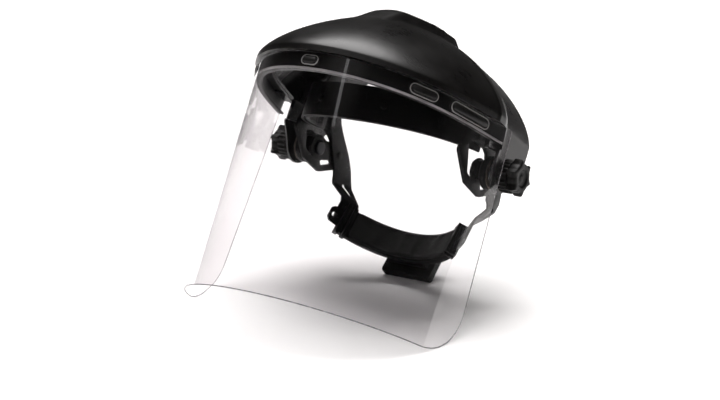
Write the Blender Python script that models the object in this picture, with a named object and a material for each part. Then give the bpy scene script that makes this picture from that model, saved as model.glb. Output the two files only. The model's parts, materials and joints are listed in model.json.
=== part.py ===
"""Browguard face shield: a black crown with a wrapped clear window, tilting on two side pivots of a
ratchet headgear. It stands on the window's lower corners and on the ratchet knob.

Every piece is modelled in the worn frame, in millimetres: origin at the middle of the pivot axis,
x to the wearer's left, y towards the back of the head, z up. settle() then tips the whole object
into its standing pose, with the origin on the ground under the middle of its box."""

import math

import bmesh
import bpy
import numpy as np
from mathutils import Vector
from mathutils.geometry import tessellate_polygon

MM = 0.001
GAP = 0.3  # clearance between touching pieces

# Window: a flat sheet 394 x 202, wrapped round the rail. Each edge curve is given by its half
# length, its radius at the front, and how its curvature changes towards the side.
WINDOW_THICK = 1.0
WINDOW_BACK_Y = -24.6  # the two upright edges
WINDOW_LOW_Z = -169.9
WINDOW_TOP_Z = 32.2
WINDOW_CORNER = 44.0
RAIL_LOW_Z = 17.5
LOW_CURVE = {"half": 197.0, "radius": 130.7, "second": 0.001066, "fourth": -0.000576}
RAIL_CURVE = {"half": 201.66, "radius": 98.8, "second": -0.008210, "fourth": -0.004905}

# Slots of the window: centre along the arc, length, height; the side ones come in pairs.
SLOT_Z = 25.2
SLOTS = ((0.0, 16.0, 8.0), (101.0, 26.0, 8.5), (150.0, 44.0, 9.0))
LUG_PROUD = 1.6

# Crown: a superelliptic shell from the lip over the window's top edge up to a spine over the head.
CROWN_THICK = 2.5
LIP_LOW_Z = 32.5
LIP_TOP_Z = 37.0
LEDGE_Z = 32.8
LIP_OVERHANG = 3.8
EAR_X = 107.6
EAR_BACK_Y = 35.0
EAR_RADIUS = 17.0
EAR_TOP_Z = 36.5
EAR_FRONT_Y = -32.5
SIDE_X = 48.0
POCKET_X = 101.6  # inner face of the latch pocket in each ear
SPINE_TOP_Z = 118.0
SPINE_BACK_Y = 28.0
POLE_Y = -55.0
CROWN_FRONT_POWER = 1.34
CROWN_SIDE_POWER = 1.47
RIDGE_HEIGHT = 7.5

# Pivot: bolt, bracket, hub, washers, ear and knob along the x axis.
BOLT_RADIUS = 3.0
BRACKET_X = 83.3
BRACKET_THICK = 3.0
HUB_OUTER_X = 99.8
KNOB_INNER_X = 107.9
KNOB_OUTER_X = 129.6
KNOB_RADIUS = 16.3

# Brow band: a superelliptic strap that rises towards the ears.
BROW_HALF_WIDTH = 83.0
BROW_DEPTH = 94.0
BROW_POWER = 2.3
BROW_RISE = 0.15
BROW_FRONT_LOW_Z = 2.5
BROW_HEIGHT = 31.0
BROW_THICK = 1.8
BROW_BACK_Y = -4.0
PAD_THICK = 7.0

# Top strap, over the head from bracket to bracket.
STRAP_LOW_Z = 46.0
STRAP_TOP_Z = 97.0
STRAP_POWER = 1.9
STRAP_Y = -13.0
STRAP_PINS_X = (-5.0, 5.0)

# Nape: an arc behind the head whose axis leans back by NAPE_LEAN.
NAPE_CENTRE = Vector((0.0, -7.6, -38.5))
NAPE_LEAN = math.radians(17.0)
NAPE_OUT = Vector((0.0, math.cos(NAPE_LEAN), -math.sin(NAPE_LEAN)))
NAPE_UP = Vector((0.0, math.sin(NAPE_LEAN), math.cos(NAPE_LEAN)))
SLEEVE_INNER = 76.8
SLEEVE_OUTER = 82.8
SLEEVE_WALL = 1.2
SLEEVE_HALF_ANGLE = math.radians(53.0)
SLEEVE_HALF_HEIGHT = 14.0
RACK_THICK = 1.35
RACK_HALF_HEIGHT = 8.0
RACK_TAIL_ANGLE = math.radians(61.5)
RACK_TIP_ANGLE = math.radians(19.0)
PINION_TIP = 3.4
PINION_TEETH = 8
PINION_PITCH_RADIUS = 3.1
HOUSING_OUT = 89.0
RATCHET_KNOB_WIDTH = 52.0
RATCHET_KNOB_HEIGHT = 44.0
RATCHET_KNOB_THICK = 9.0

BLACK = (0.012, 0.012, 0.013, 1.0)
STEEL = (0.55, 0.56, 0.58, 1.0)


# ---------------------------------------------------------------- scene helpers

def clear_scene():
    for obj in list(bpy.data.objects):
        bpy.data.objects.remove(obj, do_unlink=True)


def material(name, colour, roughness, metallic=0.0, transmission=0.0):
    made = bpy.data.materials.new(name)
    made.use_nodes = True
    shader = made.node_tree.nodes["Principled BSDF"]
    shader.inputs["Base Color"].default_value = colour
    shader.inputs["Roughness"].default_value = roughness
    shader.inputs["Metallic"].default_value = metallic
    shader.inputs["Transmission Weight"].default_value = transmission
    return made


def new_object(name, points, faces, finish=None, smooth_angle=35.0):
    """A mesh object from points in millimetres, with its faces turned outwards."""
    mesh = bpy.data.meshes.new(name)
    mesh.from_pydata([tuple(c * MM for c in p) for p in points], [], faces)
    shape = bmesh.new()
    shape.from_mesh(mesh)
    bmesh.ops.remove_doubles(shape, verts=shape.verts, dist=1e-6)
    bmesh.ops.recalc_face_normals(shape, faces=shape.faces)
    shape.to_mesh(mesh)
    shape.free()
    mesh.shade_smooth()
    mesh.set_sharp_from_angle(angle=math.radians(smooth_angle))
    if finish:
        mesh.materials.append(finish)
    obj = bpy.data.objects.new(name, mesh)
    bpy.context.scene.collection.objects.link(obj)
    return obj


def numbered(name, solids, finish):
    """One object for each of several identical fasteners, numbered from 1."""
    for number, (points, faces) in enumerate(solids, 1):
        new_object(f"{name}_{number}", points, faces, finish)


def boolean(obj, operation, cutters):
    """Cuts or joins every (points, faces) solid in cutters into obj."""
    for number, (points, faces) in enumerate(cutters):
        tool = new_object(f"{obj.name}_{operation.lower()}_{number}", points, faces)
        tool.hide_render = True
        tool.display_type = "WIRE"
        change = obj.modifiers.new(tool.name, "BOOLEAN")
        change.operation = operation
        change.object = tool


# ---------------------------------------------------------------- solids as (points, faces)

def swept(sections):
    """A closed solid through equal-length rings of points, with flat ends."""
    count = len(sections[0])
    points = [p for ring in sections for p in ring]
    faces = [tuple(range(count)), tuple(len(points) - 1 - i for i in range(count))]
    for row in range(len(sections) - 1):
        for i in range(count):
            j = (i + 1) % count
            low = row * count
            faces.append((low + i, low + j, low + count + j, low + count + i))
    return points, faces


def prism(outline, low, high, place):
    """A flat outline [(a, b)] extruded from low to high; place(a, b, c) gives each point."""
    return swept([[place(a, b, c) for a, b in outline] for c in (low, high)])


def circle(radius, count=24, centre=(0.0, 0.0)):
    return [(centre[0] + radius * math.cos(math.tau * i / count),
             centre[1] + radius * math.sin(math.tau * i / count)) for i in range(count)]


def turned(profile, place, count=28):
    """A solid of revolution from (radius, height) pairs; a closed loop of radii above 0 is a ring."""
    rings = [[place(r * math.cos(math.tau * i / count), r * math.sin(math.tau * i / count), h)
              for i in range(count)] for r, h in profile]
    points = [p for ring in rings for p in ring]
    faces = []
    for row in range(len(rings)):
        following = (row + 1) % len(rings)
        for i in range(count):
            j = (i + 1) % count
            faces.append((row * count + i, row * count + j, following * count + j, following * count + i))
    return points, faces


def post(profile, place, count=24):
    """A solid pin or button from (radius, height) pairs, closed by flat ends."""
    return swept([[place(r * math.cos(math.tau * i / count), r * math.sin(math.tau * i / count), h)
                   for i in range(count)] for r, h in profile])


def stadium(length, height, steps=5):
    """A slot outline with round ends, centred on the origin."""
    radius = height / 2
    reach = length / 2 - radius
    turn = [math.pi * (i / steps - 0.5) for i in range(steps + 1)]
    right = [(reach + radius * math.cos(t), radius * math.sin(t)) for t in turn]
    return right + [(-a, -b) for a, b in right]


def rounded(corners, steps=2):
    """An outline from (a, b, radius) corners, each turned into an arc."""
    outline = []
    count = len(corners)
    for i, (a, b, radius) in enumerate(corners):
        here = Vector((a, b))
        before = (Vector(corners[i - 1][:2]) - here)
        after = (Vector(corners[(i + 1) % count][:2]) - here)
        half = before.angle(after) / 2
        reach = min(radius / math.tan(half), 0.48 * before.length, 0.48 * after.length)
        start = here + before.normalized() * reach
        end = here + after.normalized() * reach
        for k in range(steps + 1):
            t = k / steps
            point = start * (1 - t) ** 2 + here * 2 * t * (1 - t) + end * t * t
            outline.append((point.x, point.y))
    return outline


def holed_plate(outline, holes, low, high, place):
    """A flat plate with holes, from low to high along its thickness."""
    loops = [outline] + holes
    flat = [Vector((a, b, 0.0)) for loop in loops for a, b in loop]
    triangles = tessellate_polygon([[Vector((a, b, 0.0)) for a, b in loop] for loop in loops])
    count = len(flat)
    points = [place(p.x, p.y, c) for c in (low, high) for p in flat]
    faces = [tuple(t) for t in triangles] + [tuple(count + i for i in reversed(t)) for t in triangles]
    start = 0
    for loop in loops:
        for i in range(len(loop)):
            j = start + (i + 1) % len(loop)
            faces.append((start + i, j, count + j, count + start + i))
        start += len(loop)
    return points, faces


def along_x(side):
    """Places (y, z, x) figures on one side of the head."""
    return lambda a, b, c: (side * c, a, b)


def nape_point(angle, radius, height):
    """A point of the nape: angle round its axis from the middle, radius, and height along it."""
    outward = Vector((math.sin(angle), 0.0, 0.0)) + NAPE_OUT * math.cos(angle)
    return NAPE_CENTRE + outward * radius + NAPE_UP * height


def nape_flat(a, b, c):
    """A point of the flat work behind the nape: a to the side, b up, c away from the head."""
    return NAPE_CENTRE + Vector((a, 0.0, 0.0)) + NAPE_UP * b + NAPE_OUT * c


# ---------------------------------------------------------------- the window's surface

def edge_curve(curve, samples=400):
    """x and y along half of an edge curve, from its middle to its side, and the turning angle."""
    s = np.linspace(0.0, curve["half"], samples)
    u = s / curve["half"]
    angle = s * (1 / curve["radius"] + curve["second"] * u ** 2 / 3 + curve["fourth"] * u ** 4 / 5)
    step = s[1]
    across = np.concatenate([[0.0], np.cumsum((np.cos(angle[1:]) + np.cos(angle[:-1])) / 2) * step])
    back = np.concatenate([[0.0], np.cumsum((np.sin(angle[1:]) + np.sin(angle[:-1])) / 2) * step])
    return {"u": u, "x": across, "y": back - back[-1] + WINDOW_BACK_Y, "angle": angle}


LOW_EDGE = edge_curve(LOW_CURVE)
RAIL_EDGE = edge_curve(RAIL_CURVE)


def window_point(u, z, offset=0.0):
    """The window's outer surface at fraction u of its half length, moved outwards by offset."""
    share = (z - WINDOW_LOW_Z) / (RAIL_LOW_Z - WINDOW_LOW_Z)
    side = -1.0 if u < 0 else 1.0
    values = {}
    for key in ("x", "y", "angle"):
        low = np.interp(abs(u), LOW_EDGE["u"], LOW_EDGE[key])
        rail = np.interp(abs(u), RAIL_EDGE["u"], RAIL_EDGE[key])
        values[key] = float(low + (rail - low) * share)
    normal = Vector((side * math.sin(values["angle"]), -math.cos(values["angle"]), 0.0))
    return Vector((side * values["x"], values["y"], z)) + normal * offset


def rail_u(s):
    return s / RAIL_CURVE["half"]


def normal_frame(s, z):
    """Places (along, up, out) figures on the window's surface at arc length s."""
    here = window_point(rail_u(s), z)
    out = (window_point(rail_u(s), z, 1.0) - here).normalized()
    along = Vector((-out.y, out.x, 0.0))
    return lambda a, b, c: here + along * a + Vector((0.0, 0.0, b)) + out * c


def slot_places():
    """Every slot as (arc length, length, height)."""
    for s, length, height in SLOTS:
        for side in ((1,) if s == 0 else (1, -1)):
            yield side * s, length, height


# ---------------------------------------------------------------- visor

def make_window(finish):
    """The clear sheet with rounded lower corners and its five slots."""
    half = RAIL_CURVE["half"]
    corner = [half - WINDOW_CORNER * (1 - math.sin(math.radians(t))) for t in range(0, 91, 15)]
    inner = list(np.linspace(0.0, half - WINDOW_CORNER, 15))
    arcs = inner[:-1] + corner
    arcs = [-s for s in reversed(arcs[1:])] + arcs
    sections = []
    for s in arcs:
        beyond = max(0.0, abs(s) - (half - WINDOW_CORNER))
        low = WINDOW_LOW_Z + WINDOW_CORNER - math.sqrt(max(0.0, WINDOW_CORNER ** 2 - beyond ** 2))
        heights = np.linspace(low, WINDOW_TOP_Z, 4)
        outer = [window_point(rail_u(s), z) for z in heights]
        inner_face = [window_point(rail_u(s), z, -WINDOW_THICK) for z in heights]
        sections.append(outer + inner_face[::-1])
    window = new_object("window", *swept(sections), finish)
    cuts = [prism(stadium(length, height), -4.0, 4.0, normal_frame(s, SLOT_Z))
            for s, length, height in slot_places()]
    boolean(window, "DIFFERENCE", cuts)
    return window


def make_rail(finish):
    """The band behind the window's top edge: an upright wall and a flange under the crown."""
    face = -WINDOW_THICK - GAP
    wall = face - 2.4
    flange = face - 11.0
    top = LIP_LOW_Z - GAP
    section = [(face, RAIL_LOW_Z), (face, top), (flange, top), (flange, top - 2.0),
               (wall, top - 2.0), (wall, RAIL_LOW_Z)]
    reach = 195.0
    stations = np.linspace(-reach, reach, 37)
    rail = new_object("window_rail", *swept(
        [[window_point(rail_u(s), z, off) for off, z in section] for s in stations]), finish)
    lugs = []
    for s, length, height in slot_places():
        shape = stadium(length - 3.0, height - 3.0)
        lugs.append(prism(shape, wall + 0.8, LUG_PROUD, normal_frame(s, SLOT_Z)))
    boolean(rail, "UNION", lugs)
    holes = [post([(2.3, -8.0), (2.3, 8.0)], rivet_frame(s), 16) for s in rivet_arcs()]
    boolean(rail, "DIFFERENCE", holes)
    return rail


def rivet_arcs():
    return (-165.0, -98.0, -32.0, 32.0, 98.0, 165.0)


def rivet_frame(s):
    """Upright place on the rail's flange, at the joint between flange and crown."""
    here = window_point(rail_u(s), LIP_LOW_Z, -WINDOW_THICK - GAP - 6.5)
    return lambda a, b, c: here + Vector((a, b, c))


def make_rail_rivets(finish):
    """Rivets through the rail's flange and the crown's inner ledge."""
    profile = [(3.6, -3.9), (3.9, -3.0), (3.9, -2.6), (2.0, -2.6), (2.0, 2.4), (3.9, 2.4),
               (3.9, 2.8), (3.2, 3.9)]
    numbered("rail_rivet", [post(profile, rivet_frame(s), 12) for s in rivet_arcs()], finish)


def smooth(t):
    t = min(1.0, max(0.0, t))
    return t * t * (3 - 2 * t)


def crown_rim():
    """Right half of the crown's rim in plan, from the front to the back of the ear."""
    rim = []
    for s in np.linspace(0.0, 178.0, 15):
        p = window_point(rail_u(s), LIP_LOW_Z, LIP_OVERHANG)
        rim.append((p.x, p.y))
    start = window_point(rail_u(178.0), LIP_LOW_Z, LIP_OVERHANG)
    swell = start.x + 1.0
    for y in (-36.0, -28.0, -24.2, -23.8, -20.0, -15.5, -11.0, -4.5, 1.5, 8.0, 14.0, 24.0, EAR_BACK_Y):
        if y > start.y + 1.0:
            rim.append((EAR_X + (swell - EAR_X) * (1 - smooth((y + 38.0) / 28.0)), y))
    return rim


def ear_low(y):
    """Height of the crown's lower edge: the lip in front, the round ear at the pivot."""
    if y < -24.0:
        return LIP_LOW_Z
    if y < -EAR_RADIUS * 0.8:
        return -10.0 + (14.0 + 10.0) * (-y - EAR_RADIUS * 0.8) / (24.0 - EAR_RADIUS * 0.8)
    if y < EAR_RADIUS * 0.8:
        return -math.sqrt(EAR_RADIUS ** 2 - y ** 2)
    return -10.0 + 34.0 * (y - EAR_RADIUS * 0.8) / (EAR_BACK_Y - EAR_RADIUS * 0.8)


def spine_y(y):
    """Where on the spine the crown's rib from rim position y ends."""
    share = max(0.0, (y + 110.0) / (EAR_BACK_Y + 110.0))
    return POLE_Y + (SPINE_BACK_Y - POLE_Y) * share ** 1.6


def spine_z(y):
    return SPINE_TOP_Z - 0.0013 * (SPINE_BACK_Y - y) ** 2


def ridge(x, y):
    """Extra height of the raised ridge along the middle of the crown."""
    length = smooth((y + 112.0) / 40.0) * smooth((14.0 - y) / 18.0)
    half = 13.0 + 11.0 * smooth((y + 100.0) / 90.0)
    return RIDGE_HEIGHT * length * smooth((half + 5.0 - abs(x)) / 7.0)


def crown_grid():
    """The crown's outer surface: one column of points per rim station, left to right."""
    right = crown_rim()
    rim = [(-x, y) for x, y in reversed(right[1:])] + right
    turns = [math.pi / 2 * (i / 10) ** 0.9 for i in range(1, 11)]
    columns = []
    for x, y in rim:
        low = ear_low(y)
        column = [(x, y, low + (LIP_TOP_Z - low) * t) for t in (0.0, 0.5, 1.0)]
        top_y = spine_y(y)
        top_z = spine_z(top_y)
        power = CROWN_FRONT_POWER + (CROWN_SIDE_POWER - CROWN_FRONT_POWER) * smooth((y + 130.0) / 110.0)
        for turn in turns:
            inward = 1 - abs(math.cos(turn)) ** (2 / power)
            rise = math.sin(turn) ** (2 / power)
            px = x * (1 - inward)
            py = y + (top_y - y) * inward
            column.append((px, py, LIP_TOP_Z + (top_z - LIP_TOP_Z) * rise + ridge(px, py)))
        columns.append(column)
    return columns


def make_crown(finish):
    """The moulded dome with its inner ledge, pivot ears, latch pockets and pivot holes."""
    columns = crown_grid()
    rows = len(columns[0])
    points = [p for column in columns for p in column]
    faces = [(i * rows + r, (i + 1) * rows + r, (i + 1) * rows + r + 1, i * rows + r + 1)
             for i in range(len(columns) - 1) for r in range(rows - 1)]
    mesh = bpy.data.meshes.new("crown_shell")
    mesh.from_pydata([tuple(c * MM for c in p) for p in points], [], faces)
    shape = bmesh.new()
    shape.from_mesh(mesh)
    bmesh.ops.remove_doubles(shape, verts=shape.verts, dist=2e-5)
    bmesh.ops.dissolve_degenerate(shape, dist=1e-5, edges=shape.edges)
    shape.to_mesh(mesh)
    shape.free()
    mesh.shade_smooth()
    mesh.materials.append(finish)
    crown = bpy.data.objects.new("crown_shell", mesh)
    bpy.context.scene.collection.objects.link(crown)
    wall = crown.modifiers.new("wall", "SOLIDIFY")
    wall.thickness = CROWN_THICK * MM
    wall.offset = -1.0
    wall.use_even_offset = False
    ledge = [[window_point(rail_u(s), z, off) for off, z in (
        (LIP_OVERHANG - 1.2, LEDGE_Z), (LIP_OVERHANG - 1.2, LEDGE_Z + 2.0),
        (-12.3, LEDGE_Z + 2.0), (-12.3, LEDGE_Z))] for s in np.linspace(-176.0, 176.0, 33)]
    boolean(crown, "UNION", [swept(ledge)])
    pocket = [(-30.0, 15.0, 1.5), (-11.5, 18.5, 1.5), (-14.0, 31.0, 1.5), (-30.0, 31.0, 1.5)]
    block = [(-31.6, 13.2, 2.0), (-10.0, 17.2, 2.0), (-12.6, 32.5, 2.0), (-31.6, 32.5, 2.0)]
    boolean(crown, "UNION", [prism(rounded(block), POCKET_X, POCKET_X + 4.2, along_x(side))
                             for side in (1, -1)])
    cuts = [post([(2.3, -8.0), (2.3, 8.0)], rivet_frame(s), 16) for s in rivet_arcs()]
    for side in (1, -1):
        cuts.append(post([(4.6, 97.0), (4.6, 127.0)], along_x(side), 22))
        cuts.append(prism(rounded(pocket), POCKET_X + 1.2, 127.0, along_x(side)))
    boolean(crown, "DIFFERENCE", cuts)
    part_crown(crown)


def part_crown(crown):
    """Makes the crown's flat ears and its two sides nodes of their own, parted by hairline gaps."""
    for name, inner, region in (("ear", 80.0, ear_region), ("side", SIDE_X, side_region)):
        for side, label in ((1, "left"), (-1, "right")):
            piece = crown.copy()
            piece.data = crown.data.copy()
            piece.name = f"crown_{name}_{label}"
            bpy.context.scene.collection.objects.link(piece)
            boolean(piece, "INTERSECT", [prism(region(0.0), inner, 130.0, along_x(side))])
        cuts = [prism(region(GAP), inner - GAP, 131.0, along_x(side)) for side in (1, -1)]
        boolean(crown, "DIFFERENCE", cuts)


def side_region(gap):
    low, high, front, back = -100.0 - gap, 200.0 + gap, -200.0 - gap, 100.0 + gap
    return [(front, low), (back, low), (back, high), (front, high)]


def ear_region(gap):
    low, high, front, back = -60.0, EAR_TOP_Z + gap, EAR_FRONT_Y - gap, EAR_BACK_Y + 20.0
    return [(front, low), (back, low), (back, high), (front, high)]


# ---------------------------------------------------------------- headgear

def brow_plan(t, offset=0.0):
    """Plan point of the brow band's outer face; t runs from -1 to 1 between its two ends."""
    reach = math.radians(90.0) * abs(t)
    power = 2 / BROW_POWER
    x = BROW_HALF_WIDTH * math.sin(reach) ** power
    y = -BROW_DEPTH * math.cos(reach) ** power
    slope_x = x ** (BROW_POWER - 1) / BROW_HALF_WIDTH ** BROW_POWER
    slope_y = abs(y) ** (BROW_POWER - 1) / BROW_DEPTH ** BROW_POWER
    normal = Vector((slope_x, -slope_y)).normalized()
    side = -1.0 if t < 0 else 1.0
    return Vector((side * (x + normal.x * offset), y + normal.y * offset))


def brow_low(y):
    return BROW_FRONT_LOW_Z + BROW_RISE * (y + BROW_DEPTH)


def brow_sweep(outer, inner, above, last, count=31):
    """A solid along the brow band between two offsets from its outer face."""
    sections = []
    for t in np.linspace(-last, last, count):
        ring = []
        for offset, lift in ((outer, 0), (outer, 1), (inner, 1), (inner, 0)):
            p = brow_plan(t, offset)
            low = brow_low(brow_plan(t).y)
            ring.append(Vector((p.x, p.y, low if lift == 0 else low + BROW_HEIGHT + above)))
        sections.append(ring)
    return swept(sections)


def brow_frame(t, height):
    """Places (along, up, out) figures on the brow band's outer face."""
    here = brow_plan(t)
    out = brow_plan(t, 1.0) - here
    z = brow_low(here.y) + height
    return lambda a, b, c: Vector((here.x - out.y * a + out.x * c, here.y + out.x * a + out.y * c, z + b))


def end_t():
    """The t at which the brow band reaches its back edge."""
    return math.degrees(math.acos((-BROW_BACK_Y / BROW_DEPTH) ** (BROW_POWER / 2))) / 90.0


STUD_PLACES = ((-0.62, 15.5), (-0.22, 15.5), (0.22, 15.5), (0.62, 15.5))


def make_brow(plastic, foam):
    band = new_object("brow_band", *brow_sweep(0.0, -BROW_THICK, 0.0, end_t()), plastic)
    holes = [post([(2.1, -6.0), (2.1, 6.0)], brow_frame(t, h), 14) for t, h in STUD_PLACES]
    holes += [post([(2.1, -6.0), (2.1, 6.0)], side_frame(side, y, z), 14)
              for side in (1, -1) for y, z in BAND_RIVETS]
    boolean(band, "DIFFERENCE", holes)
    pad_outer = -BROW_THICK - GAP
    new_object("brow_pad", *brow_sweep(pad_outer, pad_outer - PAD_THICK, 0.6, 0.93, 29), foam)
    button = [(1.8, -BROW_THICK), (1.8, GAP), (3.4, GAP), (3.4, GAP + 0.7), (2.6, GAP + 1.3)]
    numbered("pad_stud", [post(button, brow_frame(t, h), 12) for t, h in STUD_PLACES], plastic)


# Rivets through the bracket: the front pair holds the brow band, the back pair the rear arm.
BAND_RIVETS = ((-16.0, 27.0), (-16.0, 36.0))
ARM_RIVETS = ((8.0, 33.0), (31.0, 4.0))


def side_frame(side, y, z):
    """Places (y, z, x) figures round a point of one side's bracket, x counted from its inner face."""
    return lambda a, b, c: Vector((side * (BRACKET_X + c), y + a, z + b))


def make_bracket(side, label, finish):
    """Six-sided loop of the headband, with the arm that carries the pivot."""
    outline = rounded([(-33.0, 40.0, 4), (-43.0, 5.0, 4), (-17.0, -16.5, 4), (11.0, -19.5, 4),
                       (37.0, -8.0, 4), (41.0, 3.0, 4), (16.0, 26.0, 5), (14.0, 40.0, 4)])
    hole = rounded([(-30.0, 15.0, 2.5), (-21.0, 20.5, 2.5), (-2.0, 20.5, 2.5), (15.0, 13.0, 2.5),
                    (17.5, 10.0, 1.5), (8.0, 9.8, 3.0), (-3.0, 12.2, 6.0), (-11.5, 5.0, 6.0),
                    (-11.5, -5.0, 6.0), (-3.0, -11.6, 3.0), (-19.0, -7.5, 2.5)])
    low_hole = rounded([(7.0, -9.6, 1.5), (23.0, -4.0, 1.5), (27.0, -6.0, 1.0), (11.0, -13.5, 1.0)])
    rounds = [circle(BOLT_RADIUS + GAP, 20)]
    rounds += [circle(2.1, 14, place) for place in BAND_RIVETS + ARM_RIVETS]
    points, faces = holed_plate(outline, [hole, low_hole] + rounds, BRACKET_X, BRACKET_X + BRACKET_THICK,
                                along_x(side))
    return new_object(f"pivot_bracket_{label}", points, faces, finish)


def make_hub(side, label, finish):
    """Block and round flange between bracket and crown."""
    inner = BRACKET_X + BRACKET_THICK + GAP
    block = rounded([(-9.0, 8.0, 3), (18.0, 12.0, 2), (24.0, -1.0, 2), (-5.0, -9.0, 3)])
    hub = new_object(f"pivot_hub_{label}", *prism(block, inner, HUB_OUTER_X - 5.0, along_x(side)), finish)
    flange = post([(14.0, HUB_OUTER_X - 6.0), (15.0, HUB_OUTER_X - 4.8), (15.0, HUB_OUTER_X - 0.8),
                   (14.2, HUB_OUTER_X)],
                  along_x(side), 32)
    boolean(hub, "UNION", [flange])
    boolean(hub, "DIFFERENCE", [post([(BOLT_RADIUS + GAP, 70.0), (BOLT_RADIUS + GAP, 110.0)],
                                     along_x(side), 20)])
    return hub


def make_pivot_hardware(side, label, black_steel, steel, brass, black, fibre):
    place = along_x(side)
    head = BRACKET_X - GAP
    bolt = [(5.6, head - 2.6), (6.8, head - 1.8), (6.8, head), (BOLT_RADIUS, head),
            (BOLT_RADIUS, KNOB_OUTER_X - 9.0), (BOLT_RADIUS - 0.6, KNOB_OUTER_X - 8.2)]
    new_object(f"pivot_bolt_{label}", *post(bolt, place, 20), black_steel)
    washer = HUB_OUTER_X + GAP
    hole = BOLT_RADIUS + GAP
    ring = [(hole, washer), (14.0, washer), (14.0, washer + 1.6), (hole, washer + 1.6)]
    new_object(f"friction_washer_{label}", *turned(ring, place), fibre)
    spring = washer + 1.6 + GAP
    cone = [(hole, spring + 1.0), (12.0, spring), (12.4, spring + 0.9), (hole, spring + 1.9)]
    new_object(f"spring_washer_{label}", *turned(cone, place), steel)
    make_tension_knob(side, label, brass, black)


def lobed(radius, depth, lobes, count):
    """An outline with a number of round lobes."""
    outline = []
    for i in range(count):
        angle = math.tau * i / count
        reach = radius - depth * (0.5 - 0.5 * math.cos(lobes * angle)) ** 1.6
        outline.append((reach * math.cos(angle), reach * math.sin(angle)))
    return outline


def star(radius, depth, count, steps):
    """An outline with hollow scallops between blunt points."""
    outline = []
    for i in range(count):
        for k in range(steps):
            share = k / steps
            angle = math.tau * (i + share) / count
            hollow = min(1.0, 1.25 * 4 * share * (1 - share)) ** 1.15
            reach = radius - depth * hollow
            outline.append((reach * math.cos(angle), reach * math.sin(angle)))
    return outline


def make_tension_knob(side, label, brass, black):
    """Ribbed knob with a star-shaped grip, and the threaded insert in it."""
    place = along_x(side)
    count = 48
    collar = circle(10.5, count)
    ribbed = lobed(KNOB_RADIUS - 1.6, 0.7, 24, count)
    lobes = star(KNOB_RADIUS, 3.4, 6, 8)
    face = star(KNOB_RADIUS - 1.6, 3.2, 6, 8)
    layers = ((collar, KNOB_INNER_X), (collar, KNOB_INNER_X + 3.2), (ribbed, KNOB_INNER_X + 3.8),
              (ribbed, KNOB_OUTER_X - 9.0), (lobes, KNOB_OUTER_X - 8.0), (lobes, KNOB_OUTER_X - 1.6),
              (face, KNOB_OUTER_X))
    knob = new_object(f"tension_knob_{label}", *swept(
        [[place(a, b, x) for a, b in outline] for outline, x in layers]), black)
    bore = BOLT_RADIUS + GAP + 2.2
    boolean(knob, "DIFFERENCE", [post([(bore + GAP, 100.0), (bore + GAP, KNOB_OUTER_X - 7.0)], place, 24)])
    hole = BOLT_RADIUS + GAP
    insert = [(hole, KNOB_INNER_X + 1.0), (bore, KNOB_INNER_X + 1.0), (bore, KNOB_OUTER_X - 9.4),
              (hole, KNOB_OUTER_X - 9.4)]
    new_object(f"knob_insert_{label}", *turned(insert, place, 24), brass)


def finer(stations, steps):
    """(number, station) pairs with smoothly interpolated stations between the given ones."""
    for i in range(len(stations) - 1):
        around = [stations[max(0, min(len(stations) - 1, i + k))] for k in (-1, 0, 1, 2)]
        for step in range(steps):
            t = step / steps
            share = (-t ** 3 + 2 * t ** 2 - t, 3 * t ** 3 - 5 * t ** 2 + 2,
                     -3 * t ** 3 + 4 * t ** 2 + t, t ** 3 - t ** 2)
            mixed = []
            for column in range(4):
                total = around[0][column] * share[0]
                for k in (1, 2, 3):
                    total = total + around[k][column] * share[k]
                mixed.append(total * 0.5)
            centre, width, across, out = mixed
            yield i + t, (centre, width, across.normalized(), out.normalized())
    yield len(stations) - 1, stations[-1]


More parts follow.
